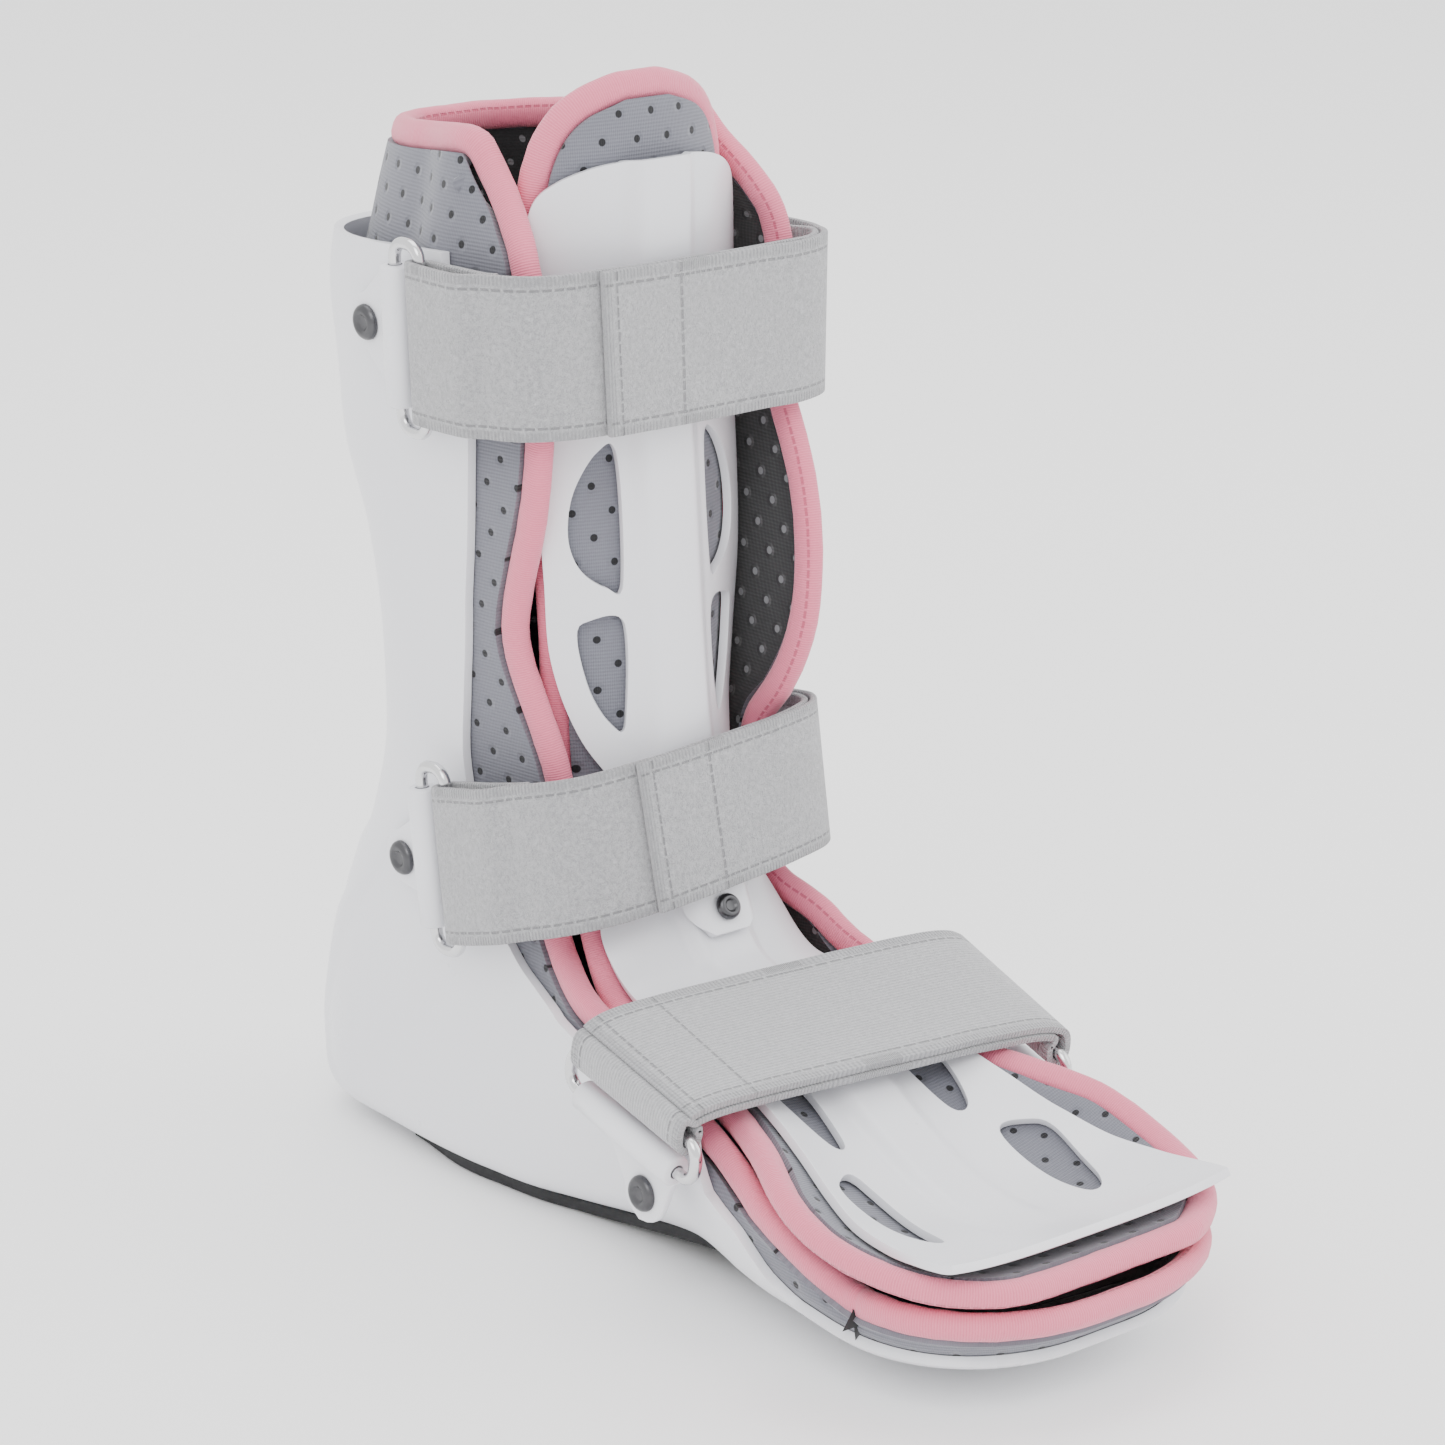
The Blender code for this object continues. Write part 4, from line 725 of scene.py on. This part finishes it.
def addPiece(name, mesh, materials, nodes, facing=None):
    if facing is not None:  # a point inside, for open sheets
        face = max(mesh.faces, key=lambda f: f.calc_area())
        if face.normal.dot(face.calc_center_median() - facing) < 0.0:
            bmesh.ops.reverse_faces(mesh, faces=mesh.faces)
    else:
        bmesh.ops.recalc_face_normals(mesh, faces=mesh.faces)
    data = bpy.data.meshes.new(name)
    mesh.to_mesh(data)
    mesh.free()
    data.shade_smooth()
    for material in materials:
        data.materials.append(material)
    piece = bpy.data.objects.new(name, data)
    bpy.context.collection.objects.link(piece)
    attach(piece, "root")
    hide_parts(*nodes)
    return piece


def giveWall(piece, thickness, rimWidth, inner=0):
    wall = piece.modifiers.new("wall", "SOLIDIFY")
    wall.thickness = thickness
    wall.offset = -1.0
    wall.material_offset = inner
    softer = piece.modifiers.new("rim", "BEVEL")
    softer.width = rimWidth
    softer.segments = 3
    softer.limit_method = "ANGLE"
    softer.angle_limit = math.radians(55)


def bodyColumns(flat, arc, wall, lip):
    half = [k / flat for k in range(flat)] + [1.0 + 4.0 * k / arc for k in range(arc)]
    half += [5.0 + 2.0 * k / wall for k in range(wall + 1)]
    half = [step / halfSteps for step in half] + [1.0 + k / lip for k in range(1, lip + 1)]
    return [-column for column in reversed(half[1:])] + half


def spread(low, high, count):
    return [mix(low, high, k / count) for k in range(count + 1)]


# shell
shellSet = {"rowSteps": 5, "panelRise": 0.0016, "counterRise": 0.0018, "rimSoft": 0.0009}


def trayHeight(y):
    points = [(lengthwise(spot.y), upward(spot.z)) for spot in trayRim]
    if y > points[0][0]:
        return 1.0
    for (y0, z0), (y1, z1) in zip(points, points[1:]):
        if y1 <= y <= y0 and y1 < y0:
            return mix(z1, z0, (y - y1) / (y0 - y1))
    return points[-2][1]


def shellRelief(row, column):
    side = abs(column)
    lift = 0.0
    spine = mix(0.30, 0.46, smooth(3.0, 0.0, row)) if row < 8 else mix(0.30, 0.20, smooth(8.0, 12.0, row))
    lift += shellSet["panelRise"] * smooth(spine + 0.03, spine, side) * smooth(2.4, 3.2, row) \
        * smooth(13.5, 11.5, row)
    counter = mix(0.80, 0.44, smooth(9.5, 14.0, row))
    lift += shellSet["counterRise"] * smooth(counter + 0.05, counter - 0.02, side) * smooth(8.6, 10.0, row) \
        * smooth(17.0, 15.0, row)
    return lift


def shellPoint(row, column):
    point = wallPoint(row, column, 0.0, shellReach)
    lift = shellRelief(row, column)
    return point + formNormal(row, clamp(column, -1.0, 1.0)) * lift if lift > 0.0 else point


def shellOutside(row, column):
    point = wallPoint(row, column, 0.0, shellReach)
    return (point.z - trayHeight(point.y)) * 40.0


shellPlaces = spread(rimRow, lastRow, (lastRow - rimRow) * shellSet["rowSteps"])
shellMesh = gridSheet(bodyColumns(6, 30, 14, 3), shellPlaces, shellPoint, None, shellOutside)
shell = addPiece("bootShell", shellMesh, [white], ["shell"], Vector((0.0, 0.02, 0.15)))
giveWall(shell, 0.0030, shellSet["rimSoft"])
print("shell built")


# liner
linerSet = {"inset": 0.0033, "wall": 0.0062, "rowSteps": 5, "topInset": 0.0075}


def linerPoint(row, column, depth=0.0):
    topInset = linerSet["topInset"] * smooth(5.0, 1.6, row) * smooth(0.95, 0.70, abs(column))
    return wallPoint(row, column, linerSet["inset"] + topInset + depth, linerReach)


def linerCloth(row, column):  # metric cloth coordinates: distance back from the edge, and height
    share = clamp(column, -1.0, 1.0)
    point = linerPoint(row, column)
    edgeSpot = linerPoint(clamp(row, 0, lastRow), math.copysign(1.0, column))
    steps = 10
    travelled = 0.0
    last = edgeSpot
    for k in range(1, steps + 1):
        spot = linerPoint(clamp(row, 0, lastRow), mix(math.copysign(1.0, column), share, k / steps))
        travelled += (spot - last).length
        last = spot
    if abs(column) > 1.0:
        travelled = -(point - edgeSpot).length
    legPlace = edgeSpot.y + travelled
    toePlace = edgeSpot.y - travelled
    across = mix(legPlace, point.y, clamp((row - 10.0) / 3.0))
    across = mix(across, toePlace, clamp((row - 29.0) / 2.0))
    return across, point.z


linerColumns = bodyColumns(5, 24, 10, 6)
linerPlaces = spread(0.0, lastRow, lastRow * linerSet["rowSteps"]) + [lastRow + k / 6 for k in range(1, 7)]
linerMesh = gridSheet(linerColumns, linerPlaces, linerPoint, linerCloth)
liner = addPiece("paddedLiner", linerMesh, [greyKnit, blackLining], ["liner"],
                 Vector((0.0, 0.02, 0.15)))
giveWall(liner, linerSet["wall"], 0.0012, 1)
print("liner built")


# bindings
bindingSet = {"sides": 16, "pucker": 0.00022, "puckerScale": 190.0, "smoothing": 3, "seat": 0.9,
              "square": 0.86}


def evened(values):  # each value of a loop with its neighbours, as a sum of weight four
    count = len(values)
    return [values[k - 1] + values[k] * 2 + values[(k + 1) % count] for k in range(count)]


def bindEdge(name, node, keys, edgeAt, behindAt):
    sides = [edgeAt(*key) for key in keys]
    count = len(sides)
    middles = [(outer + inner) / 2 for outer, inner in sides]
    normals, outwards, agreement = [], [], 0.0
    for index, (outer, inner) in enumerate(sides):
        along = (middles[(index + 1) % count] - middles[index - 1]).normalized()
        normal = outer - inner
        normals.append((normal - along * normal.dot(along)).normalized())
        outwards.append(along.cross(normals[index]))
        agreement += outwards[index].dot(middles[index] - behindAt(*keys[index]))
    turned = math.copysign(1.0, agreement)
    outwards = [outward * turned for outward in outwards]
    for _ in range(bindingSet["smoothing"] * 2):
        outwards = [direction.normalized() for direction in evened(outwards)]
        normals = [direction.normalized() for direction in evened(normals)]
    reach, half = boot["bindingRadius"], boot["bindingHalfDepth"]
    centres = []
    for (outer, inner), normal, outward in zip(sides, normals, outwards):
        away = reach * bindingSet["seat"] + max(0.0, (inner - outer).dot(outward))
        centres.append(outer - normal * (half + boot["gap"]) + outward * away)
    for _ in range(bindingSet["smoothing"]):
        centres = [centre / 4 for centre in evened(centres)]
    section = []
    for k in range(bindingSet["sides"]):
        angle = (k + 0.5) / bindingSet["sides"] * math.tau + math.pi
        power = bindingSet["square"]
        section.append((math.copysign(abs(math.cos(angle)) ** power, math.cos(angle)) * reach,
                        math.copysign(abs(math.sin(angle)) ** power, math.sin(angle)) * half))
    mesh = sweep(centres, list(zip(outwards, normals)), section)
    for vert in mesh.verts:
        vert.co += vert.normal * noise.noise(vert.co * bindingSet["puckerScale"]) * bindingSet["pucker"]
    return addPiece(name, mesh, [pink], [node])


lipEnd = 2.0
linerKeys = [(row, -lipEnd) for row in spread(0.0, lastRow, 150)]
linerKeys += [(lastRow + 1.0, column) for column in bodyColumns(6, 30, 4, 1)[2:-2]]
linerKeys += [(row, lipEnd) for row in spread(lastRow, 0.0, 150)]
linerKeys += [(0.0, column) for column in (1.75, 1.5, 1.25)]
linerKeys += [(0.0, column) for column in reversed(bodyColumns(6, 30, 6, 1)[1:-1])]
linerKeys += [(0.0, column) for column in (-1.25, -1.5, -1.75)]
bindEdge("linerBinding", "liner_binding", linerKeys,
         lambda row, column: (linerPoint(row, column), linerPoint(row, column, linerSet["wall"])),
         lambda row, column: linerPoint(clamp(row, 1.0, lastRow), clamp(column, -0.9, 0.9), 0.003))


# tongue pad
tongueSet = {"wall": 0.0075, "rowSteps": 6, "columns": 44}


def tonguePoint(row, share, lift=0.0):
    row = clamp(row, 0.0, lastPadRow)
    data = padRow(*blendRows(padRows, row))
    return padAt(row, data.extent * padReference(row) * share, lift)


padTravel = [0.0]
for step in range(1, lastPadRow * 10 + 1):
    padTravel.append(padTravel[-1] + (padMiddle(step / 10) - padMiddle((step - 1) / 10)).length)


def tongueCloth(row, share):
    data = padRow(*blendRows(padRows, row))
    low = min(int(row * 10), lastPadRow * 10 - 1)
    across = data.extent * padReference(row) * share
    return across * 1.12, -mix(padTravel[low], padTravel[low + 1], row * 10 - low)


tongueMesh = gridSheet(spread(-1.0, 1.0, tongueSet["columns"]),
                       spread(0.0, lastPadRow, lastPadRow * tongueSet["rowSteps"]), tonguePoint, tongueCloth)
tongue = addPiece("paddedTongue", tongueMesh, [greyKnit, blackLining], ["tongue_pad"],
                  Vector((0.0, 0.05, 0.1)))
giveWall(tongue, tongueSet["wall"], 0.0012, 1)
tongueKeys = [(row, -1.0) for row in spread(0.0, lastPadRow, 110)]
tongueKeys += [(lastPadRow, share) for share in spread(-1.0, 1.0, 30)[1:-1]]
tongueKeys += [(row, 1.0) for row in spread(lastPadRow, 0.0, 110)]
tongueKeys += [(0.0, share) for share in spread(1.0, -1.0, 10)[1:-1]]
bindEdge("tongueBinding", "tongue_binding", tongueKeys,
         lambda row, share: (tonguePoint(row, share), tonguePoint(row, share, -tongueSet["wall"])),
         lambda row, share: tonguePoint(clamp(row, 1.0, lastPadRow - 1.0), share * 0.8, -0.003))
print("tongue and bindings built")


# plates
plateSet = {"wall": 0.0026, "seat": 0.0009, "ridge": 0.0032, "ridgeTop": 0.0072, "ridgeFoot": 0.0135,
            "ridgeEnd": 21.5, "ridgeFull": 18.5, "rowSteps": 12, "columns": 84, "rimSoft": 0.0009}


def plateRidge(row, across):  # dies away towards the toe
    return plateSet["ridge"] * smooth(plateSet["ridgeFoot"], plateSet["ridgeTop"], abs(across)) \
        * smooth(plateSet["ridgeEnd"], plateSet["ridgeFull"], row)


def platePoint(rows, row, share, lift=0.0):
    data = plateRow(*blendRows(rows, row))
    across = data.extent * boot["legHalfWidth"] * share
    seat = plateSet["seat"] * (1.0 + data.lift) + plateRidge(data.row, across)
    return padAt(data.row, across, seat + plateSet["wall"] + lift)


def softOutline(corners):  # closed curve through a window's corner points
    outline = []
    count = len(corners)
    for index in range(count):
        a, b, c, d = (corners[(index + k) % count] for k in (-1, 0, 1, 2))
        for k in range(10):
            t = k / 10
            wa, wb = 0.5 * (-t + 2 * t * t - t ** 3), 0.5 * (2 - 5 * t * t + 3 * t ** 3)
            wc, wd = 0.5 * (t + 4 * t * t - 3 * t ** 3), 0.5 * (t ** 3 - t * t)
            outline.append(tuple(wa * a[m] + wb * b[m] + wc * c[m] + wd * d[m] for m in (0, 1)))
    return outline


def insideDepth(outline, x, y):  # positive inside, the distance to the outline
    nearest = 1.0
    inside = False
    for (x0, y0), (x1, y1) in zip(outline, outline[1:] + outline[:1]):
        if (y0 > y) != (y1 > y) and x < x0 + (y - y0) / (y1 - y0) * (x1 - x0):
            inside = not inside
        dx, dy = x1 - x0, y1 - y0
        t = clamp(((x - x0) * dx + (y - y0) * dy) / (dx * dx + dy * dy + 1e-15))
        nearest = min(nearest, math.hypot(x - x0 - dx * t, y - y0 - dy * t))
    return nearest if inside else -nearest


def plateWindows(windows, along):
    return [softOutline([(spot.across * boot["legHalfWidth"], along(spot.along)) for spot in window])
            for window in windows]


def makePlate(name, node, rows, outlines, axis):
    def outside(row, share):
        point = platePoint(rows, row, share)
        return max(insideDepth(outline, abs(point.x), point[axis]) for outline in outlines) * 40.0

    steps = spread(0.0, len(rows) - 1.0, (len(rows) - 1) * plateSet["rowSteps"])
    mesh = gridSheet(spread(-1.0, 1.0, plateSet["columns"]), steps,
                     lambda row, share: platePoint(rows, row, share), None, outside)
    piece = addPiece(name, mesh, [white], [node], Vector((0.0, 0.05, 0.05)))
    giveWall(piece, plateSet["wall"], plateSet["rimSoft"])
    return piece


shinPlate = makePlate("shinPlate", "shin_plate", shinPlateRows, plateWindows(shinWindows, upward), 2)
footPlate = makePlate("footPlate", "foot_plate", footPlateRows, plateWindows(footWindows, lengthwise), 1)
print("plates built")


# straps, rings and brackets
strapSet = {"thickness": 0.0022, "layerGap": 0.0006, "mainSteps": 150, "overlaySteps": 100, "turnSteps": 12,
            "barShare": 0.06, "columns": 22, "edgeWave": 0.00035}
ringSet = {"wire": 0.0019, "reach": 0.0125, "corner": 0.0052, "slack": 0.0024, "sides": 14}
bracketSet = {"sleeve": 0.0049, "bore": 0.0023, "tab": 0.0028, "round": 0.0092, "soft": 0.0007,
              "sleeveSoft": 0.0008, "sleeveShort": 0.0030}
rivetSet = {"radius": 0.0056, "height": 0.0022, "shinRadius": 0.0042, "shinRow": 13.1, "shinSeats": 6.2}


def strapSpot(end):
    return Vector((end.x * boot["legHalfWidth"], lengthwise(end.y), upward(end.z)))


def strapTrack(strap, edge):
    near, far, crown = (strapSpot(ends[edge]) for ends in (strap.near, strap.far, strap.crown))
    middle = (near + far) / 2
    across = (far - near).normalized()
    half = (far - near).length / 2
    front = crown - middle
    front -= across * front.dot(across)
    height = front.length
    front.normalize()
    bar = ringSet["wire"] + 2 * boot["gap"] + strapSet["thickness"] / 2
    layer = strapSet["thickness"] + strapSet["layerGap"]
    barShare = strapSet["barShare"]

    def curve(share):
        angle = share * math.pi
        power = 2.0 / (strap.nearCurve if share < 0.5 else strap.farCurve)
        return Vector((-half * math.copysign(abs(math.cos(angle)) ** power, math.cos(angle)),
                       height * max(math.sin(angle), 0.0) ** power))

    def shifted(share, offset):
        along = (curve(min(share + 0.004, 1.0)) - curve(max(share - 0.004, 0.0))).normalized()
        return curve(share) + Vector((-along.y, along.x)) * offset

    def turn(centre, start, sweepAngle):
        steps = strapSet["turnSteps"]
        angles = [start + sweepAngle * k / steps for k in range(1, steps)]
        return [centre + bar * Vector((math.cos(angle), math.sin(angle))) for angle in angles]

    def swing(share, wide, narrow):
        return mix(wide, narrow, smooth(barShare, 2 * barShare, share))

    flat = [shifted(share, -swing(share, bar, layer)) for share in spread(0.16, 0.004, 24)]
    flat += turn(curve(0.0), 0.0, -math.pi)
    for share in spread(0.0, 1.0, strapSet["mainSteps"]):
        flat.append(shifted(share, swing(share, bar, 0.0) if share < 0.5 else -swing(1.0 - share, bar, 0.0)))
    flat += turn(curve(1.0), math.pi, math.pi)
    for share in spread(1.0, strap.overlay, strapSet["overlaySteps"]):
        flat.append(shifted(share, swing(1.0 - share, bar, layer)))
    return [middle + across * spot.x + front * spot.y for spot in flat]


def makeStrap(strap, name, node, material):
    tracks = (strapTrack(strap, 0), strapTrack(strap, 1))
    count, halfWidth = len(tracks[0]), feltLook["halfWidth"]
    middles = [(a + b) / 2 for a, b in zip(*tracks)]
    for _ in range(2):
        inner = [[total / 4 for total in evened(track)[1:-1]] for track in tracks]
        tracks = tuple([track[0]] + middle + [track[-1]] for track, middle in zip(tracks, inner))
    travelled = [0.0] * count
    for index in range(count - 2, -1, -1):
        travelled[index] = travelled[index + 1] + (middles[index] - middles[index + 1]).length

    def position(row, column):
        share = column / strapSet["columns"]
        wave = noise.noise(Vector((travelled[row] * 60.0, share, 3.0))) * strapSet["edgeWave"] / 0.05
        share += wave * (2.0 * share - 1.0)
        return tracks[0][row].lerp(tracks[1][row], share)

    mesh = gridSheet(list(range(strapSet["columns"] + 1)), list(range(count)), position,
                     lambda row, column: (travelled[row], column / strapSet["columns"] * 2 * halfWidth))
    piece = addPiece(name, mesh, [material], [node])
    wall = piece.modifiers.new("wall", "SOLIDIFY")
    wall.thickness = strapSet["thickness"]
    wall.offset = 0.0
    softer = piece.modifiers.new("rim", "BEVEL")
    softer.width = 0.0008
    softer.segments = 3
    softer.limit_method = "ANGLE"
    softer.angle_limit = math.radians(60)
    return piece


def bracketFrame(strap, side):
    first, second = (strapSpot(end) for end in (strap.near if side < 0 else strap.far))
    along = (second - first).normalized()
    outward = xAxis * side
    away = along.cross(outward).normalized()
    if strap.ringTurn:
        away = away if away.z < 0.0 else -away
    else:
        away = away if away.y > 0.0 else -away
    outward = along.cross(away)
    outward = outward if outward.dot(xAxis * side) > 0.0 else -outward
    return (first + second) / 2, along, away, outward.normalized()


def ringHalf(strap):
    return (strapSpot(strap.near[1]) - strapSpot(strap.near[0])).length / 2


def makeRing(strap, side, name, node):
    middle, along, away, outward = bracketFrame(strap, side)
    half = ringHalf(strap) + ringSet["wire"] + ringSet["slack"]
    corner = ringSet["corner"]
    path = []
    for signAlong, signAway, start in ((1, 0, -90), (1, 1, 0), (-1, 1, 90), (-1, 0, 180)):
        centre = (middle + along * (half - corner) * signAlong
                  + away * (ringSet["reach"] * signAway + corner * (1 - 2 * signAway)))
        for k in range(9):
            angle = math.radians(start + k / 8 * 90)
            path.append(centre + along * corner * math.cos(angle) + away * corner * math.sin(angle))
    full = []
    for index, point in enumerate(path):
        following = path[(index + 1) % len(path)]
        full.append(point)
        if (following - point).length > 0.004:
            full += [point.lerp(following, k / 12) for k in range(1, 12)]
    frames = []
    for index in range(len(full)):
        direction = (full[(index + 1) % len(full)] - full[index - 1]).normalized()
        frames.append((direction.cross(outward).normalized(), outward))
    section = [(math.cos(k / ringSet["sides"] * math.tau) * ringSet["wire"],
                math.sin(k / ringSet["sides"] * math.tau) * ringSet["wire"]) for k in range(ringSet["sides"])]
    return addPiece(name, sweep(full, frames, section), [chrome], [node])


def makeBracket(strap, bracket, side, name, node):
    middle, along, away, outward = bracketFrame(strap, side)
    sleeveMiddle = middle + away * ringSet["reach"]
    half = ringHalf(strap) - bracketSet["sleeveShort"]
    rivetAway, tabRound = bracket.rivetAway, bracketSet["round"]
    turn = Matrix((along, away, outward)).transposed().to_4x4()
    turn.translation = sleeveMiddle
    mesh = bmesh.new()
    corners = [(half * 0.96, 0.0), (half * 0.90, 0.004), (bracket.tabHalf, rivetAway * 0.5)]
    corners += [(tabRound * math.cos(math.radians(a)), rivetAway + tabRound * math.sin(math.radians(a)))
                for a in range(10, 91, 20)]
    outline = corners + [(-a, b) for a, b in reversed(corners)]
    spots = []
    for offset, farOff in outline:
        slide = bracket.rivetAlong * clamp(farOff / rivetAway)
        spots.append(mesh.verts.new((offset + slide, farOff, -bracketSet["sleeve"])))
    face = mesh.faces.new(spots)
    grown = bmesh.ops.extrude_face_region(mesh, geom=[face])
    bmesh.ops.translate(mesh, verts=[v for v in grown["geom"] if isinstance(v, bmesh.types.BMVert)],
                        vec=(0.0, 0.0, bracketSet["tab"]))
    bmesh.ops.recalc_face_normals(mesh, faces=mesh.faces)
    bmesh.ops.bevel(mesh, geom=mesh.edges[:] + mesh.verts[:], offset=bracketSet["soft"], offset_type="OFFSET",
                    segments=3, profile=0.5, affect="EDGES", material=-1, clamp_overlap=True)
    tube = bmesh.new()
    outer, inner, soft = bracketSet["sleeve"], bracketSet["bore"], bracketSet["sleeveSoft"]
    profile = [(-half, inner), (-half, outer - soft), (-half + soft, outer), (half - soft, outer),
               (half, outer - soft), (half, inner)]
    ring = [tube.verts.new((a, 0.0, b)) for a, b in profile]
    edges = [tube.edges.new(pair) for pair in zip(ring, ring[1:] + ring[:1])]
    bmesh.ops.spin(tube, geom=ring + edges, cent=(0, 0, 0), axis=(1, 0, 0), angle=math.tau, steps=36,
                   use_merge=True)
    tubeData = bpy.data.meshes.new("sleeve")
    tube.to_mesh(tubeData)
    tube.free()
    mesh.from_mesh(tubeData)
    bmesh.ops.transform(mesh, matrix=turn, verts=mesh.verts)
    piece = addPiece(name, mesh, [white], [node])
    piece.data.set_sharp_from_angle(angle=math.radians(50))
    return piece


def makeRivet(name, node, seat, axis, radius, height):
    profile = [(0.0, 0.62), (0.30, 0.62), (0.40, 0.66), (0.46, 0.86), (0.56, 1.0), (0.74, 0.96), (0.88, 0.76),
               (0.97, 0.44), (1.0, 0.12), (1.0, 0.0), (0.0, 0.0)]
    mesh = bmesh.new()
    ring = [mesh.verts.new((a * radius, 0.0, b * height)) for a, b in profile]
    edges = [mesh.edges.new(pair) for pair in zip(ring, ring[1:])]
    bmesh.ops.spin(mesh, geom=ring + edges, cent=(0, 0, 0), axis=(0, 0, 1), angle=math.tau, steps=32,
                   use_merge=True)
    bmesh.ops.remove_doubles(mesh, verts=mesh.verts, dist=1e-6)
    turn = zAxis.rotation_difference(axis).to_matrix().to_4x4()
    turn.translation = seat + axis * boot["gap"]
    bmesh.ops.transform(mesh, matrix=turn, verts=mesh.verts)
    piece = addPiece(name, mesh, [gunmetal], [node])
    piece.data.set_sharp_from_angle(angle=math.radians(50))
    return piece


for strap, bracket in zip(straps, brackets):
    label = bracket.strap
    makeStrap(strap, f"{label}Strap", strap.name, ribbedFelt if label == "instep" else felt)
    for side, sideName in ((-1, "near"), (1, "far")):
        makeRing(strap, side, f"{label}Ring_{sideName}", f"{label}_ring_{sideName}")
        makeBracket(strap, bracket, side, f"{label}Bracket_{sideName}", f"{label}_bracket_{sideName}")
        middle, along, away, outward = bracketFrame(strap, side)
        seat = (middle + away * (ringSet["reach"] + bracket.rivetAway) + along * bracket.rivetAlong
                - outward * (bracketSet["sleeve"] - bracketSet["tab"]))
        makeRivet(f"{label}Rivet_{sideName}", f"{label}_rivet_{sideName}", seat, outward, rivetSet["radius"],
                  rivetSet["height"])
shinLift = plateSet["seat"] * rivetSet["shinSeats"] + plateSet["ridge"] + plateSet["wall"]
makeRivet("shinRivet", "shin_rivet", padAt(rivetSet["shinRow"], 0.0, shinLift), padFront(rivetSet["shinRow"]),
          rivetSet["shinRadius"], rivetSet["height"])
print("straps, rings and brackets built")


# outsole
soleSet = {"thickness": 0.0040, "rowSteps": 8, "columns": 16}


def soleWidth(row):
    place = row - soleFirstRow
    return blendRows([(width,) for width in soleWidths], place)[0] * boot["footHalfWidth"]


def solePoint(row, share):
    point = formPoint(row, 0.0) - zAxis * boot["gap"]
    point.x = soleWidth(row) * share
    return point


soleSteps = (soleLastRow - soleFirstRow) * soleSet["rowSteps"]
soleMesh = gridSheet(spread(-1.0, 1.0, soleSet["columns"]), spread(soleFirstRow, soleLastRow, soleSteps),
                     solePoint)
sole = addPiece("rubberSole", soleMesh, [rubber], ["outsole"], Vector((0.0, -0.05, -0.2)))
giveWall(sole, soleSet["thickness"], 0.0006)
print("sole built")


# studio
studio = {"azimuth": -40.0, "elevation": 17.0, "target": (0.0, -0.064, 0.161), "distance": 1.383,
          "lens": 113.86, "lampTarget": (0.0, -0.06, 0.15), "floor": 0.97, "world": 1.75}
cameraData = bpy.data.cameras.new("photoCamera")
cameraData.lens = studio["lens"]
cameraData.sensor_width = 36.0
cameraData.clip_end = 50.0
camera = bpy.data.objects.new("photoCamera", cameraData)
azimuth, elevation = math.radians(studio["azimuth"]), math.radians(studio["elevation"])
level = math.cos(elevation)
back = Vector((math.sin(azimuth) * level, -math.cos(azimuth) * level, math.sin(elevation)))
camera.location = Vector(studio["target"]) + back * studio["distance"]
camera.rotation_euler = back.to_track_quat("Z", "Y").to_euler()
bpy.context.collection.objects.link(camera)
bpy.context.scene.camera = camera

floorMesh = bmesh.new()
bmesh.ops.create_grid(floorMesh, x_segments=1, y_segments=1, size=6.0)
bmesh.ops.translate(floorMesh, verts=floorMesh.verts, vec=(0.0, 0.0, -0.0002))
floorData = bpy.data.meshes.new("studioFloor")
floorMesh.to_mesh(floorData)
floorMesh.free()
floor = bpy.data.objects.new("studioFloor", floorData)
bpy.context.collection.objects.link(floor)
floorPaint, floorTree, floorShader = newFinish("studioFloor", 0.9)
floorShader.inputs["Base Color"].default_value = (studio["floor"], studio["floor"], studio["floor"], 1.0)
floorData.materials.append(floorPaint)

lamps = {
    "keyLamp": {"place": (-1.6, -1.4, 2.2), "size": 1.6, "power": 30.0},
    "fillLamp": {"place": (1.8, -1.2, 1.2), "size": 1.8, "power": 15.0},
    "topLamp": {"place": (0.2, 0.4, 2.6), "size": 1.8, "power": 24.0},
}
for name, lamp in lamps.items():
    data = bpy.data.lights.new(name, "AREA")
    data.energy = lamp["power"]
    data.size = lamp["size"]
    item = bpy.data.objects.new(name, data)
    item.location = lamp["place"]
    item.rotation_euler = (item.location - Vector(studio["lampTarget"])).to_track_quat("Z", "Y").to_euler()
    bpy.context.collection.objects.link(item)

world = bpy.data.worlds.new("studioWorld")
world.use_nodes = True
world.node_tree.nodes["Background"].inputs["Color"].default_value = (1.0, 1.0, 1.0, 1.0)
world.node_tree.nodes["Background"].inputs["Strength"].default_value = studio["world"]
bpy.context.scene.world = world
print("studio ready")
